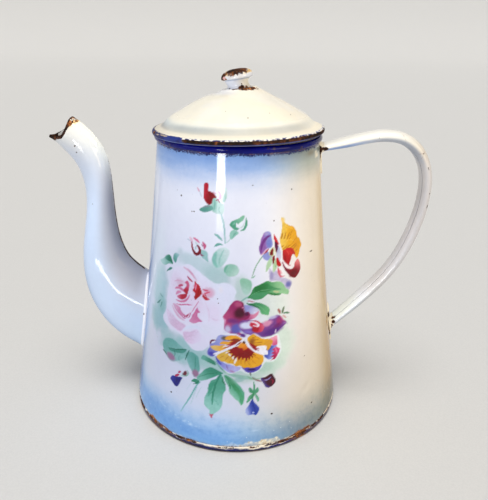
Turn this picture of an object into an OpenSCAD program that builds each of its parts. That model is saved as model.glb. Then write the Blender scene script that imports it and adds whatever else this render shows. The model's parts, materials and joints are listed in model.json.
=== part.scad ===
// Enamelled sheet-steel coffee pot with a gooseneck spout, a hollow strap
// handle and a loose lift-off lid.
// Millimetres. +Z is up, the origin is the centre of the foot ring on the
// table, the spout points along -X and the handle along +X.

/* [Pot wall] */
// Outside radius that the wall would have at table level
wall_base_r = 77.5; // [70:0.5:85]
// How much the wall leans in per millimetre of height
wall_lean = 0.146; // [0.12:0.002:0.16]
// Hollow curve of the wall, per millimetre of height squared
wall_hollow = 0.00012; // [0.00008:0.00001:0.00016]
// Thickness of the enamelled sheet
sheet_t = 1.2; // [0.8:0.1:1.6]
// Height of the centre of the rolled rim
rim_z = 197.8; // [180:0.1:210]
// Radius of the centre of the rolled rim
rim_r = 53.3; // [52:0.1:54]
// Radius of the roll of the rim
rim_roll_r = 2; // [1.8:0.1:2.4]
// Radius of the wire inside the rolled rim
rim_wire_r = 1; // [0.8:0.1:1.3]

/* [Foot] */
// Outside radius of the folded foot seam
foot_r = 77.1; // [76.6:0.1:77.4]
// Height of the folded foot seam
foot_h = 4; // [3:0.5:5]
// Height of the underside of the raised bottom
bottom_z = 3; // [2:0.5:4]

/* [Strainer] */
// Diameter of each strainer hole behind the spout
strainer_d = 3.2; // [2.5:0.1:4]
// Height of the middle of the strainer
strainer_z = 66; // [60:1:70]
// Distance between strainer rows
strainer_pitch = 7; // [6:0.5:8]

/* [Spout] */
// Wall of the two pressed spout halves
spout_t = 1.1; // [0.8:0.1:1.4]
// Half height of the flange at the root of the spout
flange_h = 33.5; // [33:0.5:36]
// Half width of the flange at the root of the spout
flange_w = 17.5; // [17:0.5:19]
// Thickness of the flange against the wall
flange_t = 1.1; // [0.8:0.1:1.4]

/* [Handle] */
// Half width of the strap handle
handle_w = 7.6; // [6.5:0.1:9]
// Wall of the handle
handle_t = 1.0; // [0.8:0.1:1.3]
// Thickness of the plates that hold the handle
plate_t = 1.1; // [0.8:0.1:1.4]
// Width of the upper handle plate
top_plate_w = 17; // [16:1:22]
// Width of the lower handle plate
tail_plate_w = 14; // [13:1:18]

/* [Lid] */
// Radius of the centre of the rolled lid edge
lid_roll_r0 = 54.55; // [54:0.05:54.8]
// Radius of the roll of the lid edge
lid_roll = 1.9; // [1.8:0.05:2.2]
// Radius of the wire inside the rolled lid edge
lid_wire_r = 1; // [0.8:0.1:1.2]
// Gap between the lid edge and the rim of the pot
lid_gap = 0.15; // [0.1:0.05:0.4]
// Outside radius of the collar that drops into the mouth
collar_r = 50.4; // [49.8:0.1:50.6]
// Height of the lower edge of the collar
collar_z = 189.5; // [187:0.5:193]
// How far the lid lifts
lid_travel = 60; // [25:5:120]

/* [Knob] */
// Radius of the knob
knob_r = 10.1; // [9:0.1:11]
// Radius of the rivet shank
rivet_r = 2; // [1.5:0.1:2.5]

/* [Hidden] */
$fn = 96;

enamel_white = [0.93, 0.93, 0.92];
enamel_cream = [0.95, 0.93, 0.87];
enamel_blue = [0.10, 0.16, 0.42];
bare_steel = [0.45, 0.42, 0.40];
rust_brown = [0.42, 0.24, 0.14];

// --- curves ---------------------------------------------------------------
// Catmull-Rom value between p1 and p2, for vectors of any length
function cr(p0, p1, p2, p3, t) =
    0.5 * (2 * p1 + (p2 - p0) * t + (2 * p0 - 5 * p1 + 4 * p2 - p3) * t * t
           + (3 * p1 - p0 - 3 * p2 + p3) * t * t * t);
function at(a, i) = a[max(0, min(len(a) - 1, i))];
// Smooth list through the given stations, n steps between each pair
function smooth(a, n) = [
    for (i = [0 : len(a) - 2]) for (k = [0 : n - 1])
        cr(at(a, i - 1), at(a, i), at(a, i + 1), at(a, i + 2), k / n),
    a[len(a) - 1]];

// --- pot wall ---------------------------------------------------------------
function wall_r(z) = wall_base_r - wall_lean * z + wall_hollow * z * z;
wall_z = [6, 20, 34, 48, 62, 76, 90, 104, 118, 132, 146, 160, 174, 186, 196.4];
// Outside line of the wall, d further out
function wall_line(d) = [for (z = wall_z) [wall_r(z) + d, z]];
function rev(a) = [for (i = [len(a) - 1 : -1 : 0]) a[i]];

seam_r = foot_r - 1.0;          // wall radius inside the folded seam

module roll_2d(r0, z0, r, hole) {
    translate([r0, z0]) difference() { circle(r); circle(hole); }
}

module strainer_holes() {
    for (j = [-3 : 3])
        for (i = (j % 2 == 0) ? [-1, 0, 1] : [-0.5, 0.5])
            translate([-wall_base_r - 8, i * strainer_pitch, strainer_z + j * strainer_pitch * 0.87])
                rotate([0, 90, 0]) cylinder(h = 40, d = strainer_d, $fn = 24);
}

module body_shell() {
    color(enamel_white) difference() {
        rotate_extrude() difference() {
            union() {
                polygon(concat(
                    [[seam_r - sheet_t, 1.0], [seam_r, 1.0], [seam_r, foot_h]],
                    wall_line(0),
                    rev(wall_line(-sheet_t)),
                    [[seam_r - sheet_t, foot_h]]));
                translate([rim_r, rim_z]) circle(rim_roll_r);
            }
            translate([rim_r, rim_z]) circle(rim_wire_r);
        }
        strainer_holes();
    }
}

module rim_wire() {
    color(bare_steel) rotate_extrude() translate([rim_r, rim_z]) circle(rim_wire_r);
}

// Raised bottom with its edge folded up round the lower edge of the wall
module base_disc() {
    color(enamel_blue) rotate_extrude() polygon([
        [0, bottom_z], [seam_r - 3.8, bottom_z], [seam_r - 1.9, 0], [foot_r - 0.5, 0],
        [foot_r, 0.5], [foot_r, foot_h], [seam_r, foot_h], [seam_r, 1.0],
        [seam_r - sheet_t, 1.0], [seam_r - 3.2, bottom_z + 1.0], [0, bottom_z + 1.0]]);
}

// Solid cone of the pot, d bigger, used to trim what is welded on
module pot_solid(d) {
    rotate_extrude() polygon(concat(
        [[0, 6]], wall_line(d), [[0, 196.4]]));
}

// Thin skin lying on the wall, t thick
module wall_skin(t) {
    rotate_extrude() polygon(concat(wall_line(0), rev(wall_line(t))));
}

// --- swept shells -----------------------------------------------------------
// A station is [centre x, centre z, half axis x, half axis z, half width].
// The section is an ellipse arc from angle a0 to a1, t thick.
function shell_pt(s, a, t) =
    let (h = sqrt(s[2] * s[2] + s[3] * s[3]),
         k = max(h - t, 0.2) / h, w = max(s[4] - t, 0.2))
    [s[0] + s[2] * (t > 0 ? k : 1) * cos(a),
     (t > 0 ? w : s[4]) * sin(a),
     s[1] + s[3] * (t > 0 ? k : 1) * cos(a)];
function shell_ring(s, a0, a1, n, t) = concat(
    [for (i = [0 : n]) shell_pt(s, a0 + (a1 - a0) * i / n, 0)],
    [for (i = [n : -1 : 0]) shell_pt(s, a0 + (a1 - a0) * i / n, t)]);

module swept_shell(st, a0, a1, n, t) {
    m = 2 * (n + 1);
    k = len(st);
    pts = [for (s = st) each shell_ring(s, a0, a1, n, t)];
    walls = [for (j = [0 : k - 2]) for (i = [0 : m - 1])
        let (a = j * m + i, b = j * m + (i + 1) % m, c = a + m, d = b + m)
        each [[a, b, d], [a, d, c]]];
    cap0 = [for (i = [0 : n - 1]) let (a = i, b = i + 1, c = m - 2 - i, d = m - 1 - i)
        each [[a, c, b], [a, d, c]]];
    o = (k - 1) * m;
    cap1 = [for (i = [0 : n - 1]) let (a = o + i, b = o + i + 1, c = o + m - 2 - i, d = o + m - 1 - i)
        each [[a, b, c], [a, c, d]]];
    polyhedron(points = pts, faces = concat(walls, cap0, cap1), convexity = 8);
}

// --- spout ------------------------------------------------------------------
// Stations of the spout: the point on the inner (pot side) curve, the point on
// the outer curve, and the half width. Distances out from the pot axis.
spout_keys = [
    [60, 91, 70, 30, 15],
    [67, 97, 77, 35, 15],
    [73, 101.5, 88, 42, 14.8],
    [78, 106.5, 99, 53, 14.2],
    [81.5, 112, 107.2, 66.5, 13.5],
    [84, 119, 112, 81, 12.8],
    [86, 128, 113.6, 97, 12],
    [87, 138.5, 112.6, 113, 11],
    [87.4, 149, 110, 128, 10.3],
    [87.6, 159, 107.2, 142.5, 9.8],
    [88, 169, 106.2, 155.5, 9.5],
    [89.2, 178.5, 107.3, 166.5, 9.4],
    [92, 187, 110.3, 175.5, 9.5],
    [97, 195, 114.3, 181.5, 9.6],
    [103.5, 202, 118.2, 185.8, 9.2],
    [110, 207, 121.8, 189.3, 7.6],
    [116, 211, 125.3, 192.0, 4.4],
    [121, 214, 128.4, 193.6, 0.9]];
spout_st = [for (s = smooth(spout_keys, 2))
    [-(s[0] + s[2]) / 2, (s[1] + s[3]) / 2, -(s[0] - s[2]) / 2, (s[1] - s[3]) / 2, s[4]]];

// Beak-shaped cut of the mouth, seen from the side
module mouth_cut() {
    rotate([90, 0, 0]) translate([0, 0, -40]) linear_extrude(height = 80)
        polygon([[-109.4, 207.4], [-112.4, 203.6], [-115.6, 198.8], [-118.2, 195.8],
                 [-122, 194.7], [-130, 194.2], [-140, 200], [-130, 225], [-105, 225]]);
}

module spout_half(side) {
    color(enamel_white) difference() {
        swept_shell(spout_st, side > 0 ? 180 : 0, side > 0 ? 0 : -180, 9, spout_t);
        pot_solid(flange_t);
        mouth_cut();
    }
}
module spout_near_half() { spout_half(-1); }
module spout_far_half() { spout_half(1); }

// Flange at the root of the spout, lying on the wall
module spout_flange() {
    color(enamel_white) intersection() {
        wall_skin(flange_t);
        translate([-90, 0, strainer_z]) rotate([0, 90, 0])
            linear_extrude(height = 60) difference() {
                root_oval(flange_h, flange_w);
                root_oval(flange_h - 5, flange_w - 5);
            }
    }
}
// Long oval made of two straight sides and two round ends
module root_oval(h, w) {
    union() {
        square([2 * (h - w), 2 * w], center = true);
        for (s = [-1, 1]) translate([s * (h - w), 0]) circle(w);
    }
}

// --- handle -----------------------------------------------------------------
// Centre line of the handle and the half thickness of the strap
handle_keys = [
    [47, 189.5, 2.8], [58, 191.2, 2.9], [71, 194.1, 3.6], [84, 197.2, 3.9], [96, 198.9, 4.0],
    [108, 197.3, 4.0], [117.6, 190.8, 4.0], [123.9, 180.6, 4.0], [126.6, 168.2, 4.0],
    [126.5, 154.9, 4.0], [124.4, 141.5, 4.0], [120.7, 128, 4.0], [115.7, 115, 4.0],
    [108.8, 102.6, 4.0], [100.3, 91, 4.0], [90.5, 79.7, 3.9], [80, 68.5, 3.4], [70, 58.5, 2.8],
    [62, 51, 2.6]];
handle_line = smooth(handle_keys, 2);
handle_st = [for (i = [0 : len(handle_line) - 1])
    let (p = handle_line[i],
         q = at(handle_line, i + 1) - at(handle_line, i - 1),
         l = sqrt(q[0] * q[0] + q[1] * q[1]))
    // half axis points to the outside of the bow
    [p[0], p[1], -q[1] / l * p[2], q[0] / l * p[2], handle_w]];
split_a = 146;                  // where the channel ends and the strip begins

module handle_channel() {
    color(enamel_white) difference() {
        swept_shell(handle_st, -split_a, split_a, 12, handle_t);
        pot_solid(plate_t);
    }
}
module handle_strip() {
    color(enamel_white) difference() {
        swept_shell(handle_st, split_a, 360 - split_a, 6, handle_t);
        pot_solid(plate_t);
    }
}

// Plate under the rim that the top of the handle is welded to
module handle_top_plate() {
    color(enamel_white) intersection() {
        wall_skin(plate_t);
        translate([40, 0, 0]) rotate([90, 0, 90]) linear_extrude(height = 45) union() {
            translate([-top_plate_w / 2, 178]) square([top_plate_w, 16.5]);
            translate([-top_plate_w / 2 + 5, 173]) square([top_plate_w - 10, 6]);
            for (s = [-1, 1]) translate([s * (top_plate_w / 2 - 5), 178]) circle(5);
        }
    }
}

// Tail plate below the lower end of the handle, round at both ends
module handle_tail_plate() {
    w = tail_plate_w / 2;
    color(enamel_white) intersection() {
        wall_skin(plate_t);
        translate([50, 0, 0]) rotate([90, 0, 90]) linear_extrude(height = 45) polygon(concat(
            [for (a = [0 : 15 : 180]) [w * cos(a), 68 + w * sin(a)]],
            [[-w, 58]],
            [for (a = [195 : 15 : 345]) [3.6 * cos(a), 46.5 + 3.6 * sin(a)]],
            [[w, 58]]));
    }
}

// --- lid --------------------------------------------------------------------
// Height of the centre of the rolled edge, which leans on the rim from outside
lid_edge_z = rim_z + sqrt(pow(rim_roll_r + lid_roll + lid_gap, 2) - pow(lid_roll_r0 - rim_r, 2));
// Outside line of the lid from the boss out to the rolled edge
lid_keys = [
    [11.6, 227.4], [12.4, 226.5], [15, 225.3], [22, 222.4], [30, 218.6], [37, 214.7],
    [43, 211.3], [46.5, 208.6], [49.3, 206], [51.5, 204.5], [54, 203.4]];
lid_line = smooth(lid_keys, 3);

function lid_curve(drop) = concat(
    [[rivet_r, 227.6 - drop], [10.8, 227.6 - drop]],
    [for (p = lid_line) [p[0], p[1] - drop]]);
// Everything below the lid's sheet, down to z = 180
module lid_outline(drop) {
    polygon(concat(lid_curve(drop), [[54, 180], [rivet_r, 180]]));
}

module lid_dome() {
    color(enamel_cream) union() {
        rotate_extrude() polygon(concat(lid_curve(0), [[53.6, 202.9]],
            [for (p = rev(lid_curve(1.25))) if (p[0] < 53) p]));
        rotate_extrude() translate([lid_roll_r0, lid_edge_z]) difference() {
            circle(lid_roll);
            circle(lid_wire_r);
        }
    }
}

module lid_edge_wire() {
    color(bare_steel) rotate_extrude() translate([lid_roll_r0, lid_edge_z]) circle(lid_wire_r);
}

// Collar inside the lid: a sleeve with a flange welded under the dome
module lid_collar() {
    color(enamel_cream) rotate_extrude() union() {
        intersection() {
            difference() { lid_outline(1.25); lid_outline(2.3); }
            translate([44.5, 195]) square([collar_r - 44.5, 20]);
        }
        intersection() {
            lid_outline(1.25);
            polygon([[collar_r - 0.9, collar_z + 2], [collar_r - 1.9, collar_z], [collar_r - 1.0, collar_z],
                     [collar_r, collar_z + 2], [collar_r, 210], [collar_r - 0.9, 210]]);
        }
    }
}

// --- knob -------------------------------------------------------------------
knob_z = 227.6;                 // seat of the knob on the boss
cap_keys = [[0, 239.8], [3.5, 239.6], [6.4, 238.9], [8.7, 237.6], [9.8, 236.1], [knob_r, 234.6]];
neck_keys = [[knob_r, 234.6], [9.5, 232.7], [8.0, 231.5], [6.9, 230.5], [6.5, 229.2], [6.9, 228.1], [7.3, knob_z]];
cap_line = smooth(cap_keys, 3);
neck_line = smooth(neck_keys, 3);

module knob_cap() {
    color(enamel_cream) rotate_extrude() difference() {
        polygon(concat([[0, 234.6]], cap_line));
        polygon(concat([[0, 234]], [for (p = cap_line) [p[0] * 0.9, 234.6 + (p[1] - 234.6) * 0.82]], [[9, 234]]));
    }
}

module knob_neck() {
    color(enamel_cream) rotate_extrude() difference() {
        polygon(concat([[rivet_r, 234.6]], neck_line, [[rivet_r, knob_z]]));
        polygon(concat([[rivet_r - 1, 235]], [[knob_r - 1.1, 235]],
            [for (p = neck_line) if (p[1] > knob_z + 1) [p[0] - 1.1, p[1] + 0.15]],
            [[5.2, knob_z + 1], [rivet_r - 1, knob_z + 1]]));
    }
}

// Rivet through the knob, the lid and a washer, with a head at each end
module knob_rivet() {
    color(rust_brown) rotate_extrude() polygon([
        [0, 223.6], [2.6, 223.6], [3.6, 224.4], [3.6, 225.25], [rivet_r, 225.25],
        [rivet_r, knob_z + 1], [3.9, knob_z + 1], [3.9, knob_z + 1.8], [2.8, knob_z + 2.6], [0, knob_z + 2.6]]);
}

module rivet_washer() {
    color(bare_steel) rotate_extrude() translate([rivet_r, 225.25])
        square([5 - rivet_r + 1, 227.6 - 1.25 - 225.25]);
}

body_shell();
rim_wire();
base_disc();
spout_flange();
spout_near_half();
spout_far_half();
handle_channel();
handle_strip();
handle_top_plate();
handle_tail_plate();
lid_dome();
lid_edge_wire();
lid_collar();
knob_cap();
knob_neck();
knob_rivet();
rivet_washer();
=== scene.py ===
import json
import math

import bpy
import numpy as np
from mathutils import Matrix, Vector

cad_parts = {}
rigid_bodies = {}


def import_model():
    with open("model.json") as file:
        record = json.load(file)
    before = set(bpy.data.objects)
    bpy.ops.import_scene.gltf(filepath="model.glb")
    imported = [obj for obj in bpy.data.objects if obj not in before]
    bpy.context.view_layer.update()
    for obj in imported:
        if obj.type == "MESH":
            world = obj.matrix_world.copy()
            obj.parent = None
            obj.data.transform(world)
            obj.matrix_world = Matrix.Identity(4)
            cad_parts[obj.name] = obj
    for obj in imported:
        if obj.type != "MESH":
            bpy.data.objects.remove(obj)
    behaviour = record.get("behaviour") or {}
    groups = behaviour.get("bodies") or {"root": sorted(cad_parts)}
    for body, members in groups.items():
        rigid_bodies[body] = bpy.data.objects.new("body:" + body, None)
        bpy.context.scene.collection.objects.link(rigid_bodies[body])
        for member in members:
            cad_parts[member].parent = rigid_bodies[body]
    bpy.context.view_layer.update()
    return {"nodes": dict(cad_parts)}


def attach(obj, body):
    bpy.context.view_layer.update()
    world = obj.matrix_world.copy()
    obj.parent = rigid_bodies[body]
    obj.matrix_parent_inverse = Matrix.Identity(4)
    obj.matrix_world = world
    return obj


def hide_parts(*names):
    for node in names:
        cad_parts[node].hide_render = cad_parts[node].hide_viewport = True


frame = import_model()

scene = bpy.context.scene

# ---------------------------------------------------------------- camera
# Millimetres here; the camera stands where the picture was taken from.
cam_at = np.array([18.08, -345.03, 255.1])
pitch, roll, yaw = math.radians(22.065), math.radians(0.746), math.radians(0.777)
turn3 = math.radians(3.0)


def spun(v, a):
    c, s = math.cos(a), math.sin(a)
    return np.array([c * v[0] - s * v[1], s * v[0] + c * v[1], v[2]])


look = spun((math.sin(yaw) * math.cos(pitch), math.cos(yaw) * math.cos(pitch), -math.sin(pitch)), turn3)
side = spun((math.cos(yaw), -math.sin(yaw), 0.0), turn3)
above = np.cross(side, look)
side_r = math.cos(roll) * side + math.sin(roll) * above
above_r = -math.sin(roll) * side + math.cos(roll) * above
cam_data = bpy.data.cameras.new("view")
cam_data.sensor_width = 36.0
cam_data.sensor_fit = "AUTO"
cam_data.lens = 514.555 / 500.0 * 36.0
cam_data.clip_start, cam_data.clip_end = 0.01, 20.0
cam = bpy.data.objects.new("view", cam_data)
scene.collection.objects.link(cam)
cam.matrix_world = Matrix((
    (side_r[0], above_r[0], -look[0], cam_at[0] / 1000),
    (side_r[1], above_r[1], -look[1], cam_at[1] / 1000),
    (side_r[2], above_r[2], -look[2], cam_at[2] / 1000),
    (0, 0, 0, 1)))
scene.camera = cam
scene.view_settings.view_transform = "Standard"

# ---------------------------------------------------------------- noise
def _hash(ix, iy, iz, seed):
    """A repeatable number from 0 to 1 for each lattice point."""
    with np.errstate(over="ignore"):
        h = (ix.astype(np.uint32) * np.uint32(374761393)
             + iy.astype(np.uint32) * np.uint32(668265263)
             + iz.astype(np.uint32) * np.uint32(2147483647)
             + np.uint32(seed) * np.uint32(144665))
        h = (h ^ (h >> np.uint32(13))) * np.uint32(1274126177)
        h = h ^ (h >> np.uint32(16))
    return h.astype(np.float64) / 4294967295.0


def vnoise(x, y, z, seed=0):
    """Smooth value noise, 0 to 1, one cell per unit."""
    x, y, z = np.broadcast_arrays(np.asarray(x, float), np.asarray(y, float), np.asarray(z, float))
    fx, fy, fz = np.floor(x), np.floor(y), np.floor(z)
    ix, iy, iz = fx.astype(np.int64), fy.astype(np.int64), fz.astype(np.int64)
    tx, ty, tz = x - fx, y - fy, z - fz
    tx, ty, tz = (t * t * t * (t * (t * 6 - 15) + 10) for t in (tx, ty, tz))
    out = 0.0
    for dx in (0, 1):
        for dy in (0, 1):
            for dz in (0, 1):
                w = ((tx if dx else 1 - tx) * (ty if dy else 1 - ty) * (tz if dz else 1 - tz))
                out = out + w * _hash(ix + dx, iy + dy, iz + dz, seed)
    return out


def fbm(x, y, z, seed=0, octaves=4, gain=0.5):
    """Layered noise, 0 to 1 with its middle at 0.5."""
    total, amp, norm = 0.0, 1.0, 0.0
    for o in range(octaves):
        k = 2.03 ** o
        total = total + amp * vnoise(np.asarray(x) * k + 17.3 * o, np.asarray(y) * k - 9.1 * o,
                                     np.asarray(z) * k + 4.7 * o, seed + 31 * o)
        norm += amp
        amp *= gain
    return total / norm


def sstep(a, b, v):
    t = np.clip((v - a) / (b - a), 0.0, 1.0)
    return t * t * (3 - 2 * t)


def mix(a, b, t):
    t = np.asarray(t)[..., None]
    return np.asarray(a) * (1 - t) + np.asarray(b) * t


def to_linear(c):
    c = np.clip(c, 0.0, 1.0)
    return np.where(c <= 0.04045, c / 12.92, ((c + 0.055) / 1.055) ** 2.4)


# ---------------------------------------------------------------- brushes
def catmull(points, n=5, closed=True):
    """Smooth line through the given points, n steps between each pair."""
    p = np.asarray(points, float)
    m = len(p)
    out = []
    for i in range(m if closed else m - 1):
        if closed:
            a, b, c, d = p[i - 1], p[i], p[(i + 1) % m], p[(i + 2) % m]
        else:
            a, b, c, d = p[max(i - 1, 0)], p[i], p[i + 1], p[min(i + 2, m - 1)]
        for k in range(n):
            t = k / n
            out.append(0.5 * (2 * b + (c - a) * t + (2 * a - 5 * b + 4 * c - d) * t * t
                              + (3 * b - a - 3 * c + d) * t ** 3))
    if not closed:
        out.append(p[-1])
    return np.array(out)


class Brush:
    """Paints on the unrolled wall. x runs round the pot in mm of a 60 mm circle, z is the height in mm."""

    def __init__(self, x, z, colour):
        # the edge of every brush mark wanders a little, as a hand-coloured transfer does
        self.rx, self.rz = x, z
        self.x = x + 0.50 * (fbm(x / 2.3, z / 2.3, 3.1, 11, 2) - 0.5) + 0.9 * (fbm(x / 9, z / 9, 1.1, 12, 2) - 0.5)
        self.z = z + 0.50 * (fbm(x / 2.3, z / 2.3, 8.7, 13, 2) - 0.5) + 0.9 * (fbm(x / 9, z / 9, 5.1, 14, 2) - 0.5)
        self.grain = fbm(x / 1.1, z / 1.1, 2.2, 15, 3) - 0.5
        self.c = colour
        self.paint = np.zeros(len(x))

    def _near(self, pts, pad):
        lo, hi = pts.min(0) - pad, pts.max(0) + pad
        return np.nonzero((self.x > lo[0]) & (self.x < hi[0]) & (self.z > lo[1]) & (self.z < hi[1]))[0]

    def _lay(self, i, m, colour):
        m = np.clip(m, 0, 1)
        self.c[i] = self.c[i] * (1 - m[:, None]) + colour * m[:, None]
        self.paint[i] = np.maximum(self.paint[i], m)

    def fill(self, outline, colour, soft=0.8, a=1.0, to=None, sharp=False, grain=0.10):
        """Fills an outline. to = (colour, point, point) turns the colour from the first point to the second."""
        soft *= 0.70
        pts = np.asarray(outline, float) if sharp else catmull(outline, 5)
        i = self._near(pts, soft + 0.5)
        if not len(i):
            return
        x, z = self.x[i], self.z[i]
        best = np.full(len(i), 1e9)
        inside = np.zeros(len(i), bool)
        q = np.roll(pts, -1, 0)
        for (ax, az), (bx, bz) in zip(pts, q):
            ex, ez = bx - ax, bz - az
            l2 = ex * ex + ez * ez
            if l2 < 1e-9:
                continue
            t = np.clip(((x - ax) * ex + (z - az) * ez) / l2, 0, 1)
            best = np.minimum(best, (x - ax - t * ex) ** 2 + (z - az - t * ez) ** 2)
            inside ^= ((az > z) != (bz > z)) & (x < ex * (z - az) / (ez if abs(ez) > 1e-12 else 1e-12) + ax)
        d = np.sqrt(best) * np.where(inside, 1, -1)
        m = sstep(-soft * 0.5, soft * 0.5, d) * a
        col = np.broadcast_to(np.array(colour, float), (len(i), 3))
        if to is not None:
            c2, p0, p1 = to
            ax, az = p1[0] - p0[0], p1[1] - p0[1]
            t = ((x - p0[0]) * ax + (z - p0[1]) * az) / (ax * ax + az * az)
            col = mix(col, np.array(c2, float), sstep(0, 1, t))
        col = col * (1 + grain * self.grain[i][:, None])
        self._lay(i, m, col)

    def line(self, points, w, colour, soft=0.5, a=1.0, ends=(0.3, 0.3)):
        """A brush stroke, w wide in the middle and ends[0], ends[1] of that at its ends."""
        soft *= 0.78
        pts = catmull(points, 6, closed=False)
        i = self._near(pts, w + soft)
        if not len(i):
            return
        x, z = self.x[i], self.z[i]
        best = np.full(len(i), -1e9)
        m = len(pts) - 1
        for k in range(m):
            ax, az = pts[k]
            ex, ez = pts[k + 1] - pts[k]
            l2 = max(ex * ex + ez * ez, 1e-9)
            t = np.clip(((x - ax) * ex + (z - az) * ez) / l2, 0, 1)
            s = (k + t) / m
            half = 0.5 * w * (np.where(s < 0.5, ends[0] + (1 - ends[0]) * np.sin(np.pi * s),
                                       ends[1] + (1 - ends[1]) * np.sin(np.pi * s)))
            best = np.maximum(best, half - np.sqrt((x - ax - t * ex) ** 2 + (z - az - t * ez) ** 2))
        col = np.array(colour, float) * (1 + 0.10 * self.grain[i][:, None])
        self._lay(i, sstep(-soft * 0.5, soft * 0.5, best) * a, col)

    def wash(self, cx, cz, rx, rz, colour, a=1.0, turn=0.0, edge=0.35):
        """A soft oval. edge is where it begins to fade, as a share of its radius."""
        c, s = math.cos(math.radians(turn)), math.sin(math.radians(turn))
        dx, dz = self.rx - cx, self.rz - cz
        u, v = (c * dx + s * dz) / rx, (-s * dx + c * dz) / rz
        d = np.sqrt(u * u + v * v)
        i = np.nonzero(d < 1.25)[0]
        if not len(i):
            return
        wob = 0.35 * (fbm(self.rx[i] / 5, self.rz[i] / 5, 6.0, 21, 3) - 0.5)
        m = (1 - sstep(edge, 1.0, d[i] + wob)) * a
        self.c[i] = self.c[i] * (1 - m[:, None]) + np.array(colour, float) * (1 + 0.04 * self.grain[i][:, None]) * m[:, None]


# ---------------------------------------------------------------- bouquet
PALE = (0.93, 0.93, 0.975)
LILAC = (0.885, 0.87, 0.955)
PINK = (0.87, 0.55, 0.69)
ROSE = (0.82, 0.44, 0.58)
CRIMSON = (0.77, 0.13, 0.24)
BLOOD = (0.60, 0.03, 0.08)
MAROON = (0.40, 0.02, 0.16)
YELLOW = (0.90, 0.70, 0.14)
OCHRE = (0.72, 0.46, 0.08)
STRAW = (0.93, 0.80, 0.46)
MINT = (0.62, 0.82, 0.79)
LEAF = (0.36, 0.68, 0.54)
DEEP = (0.15, 0.50, 0.36)
SAGE = (0.54, 0.76, 0.70)
VIOLET = (0.46, 0.30, 0.62)
BLUE = (0.44, 0.46, 0.76)
LAVENDER = (0.66, 0.67, 0.87)
NAVY = (0.08, 0.10, 0.50)


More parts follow.
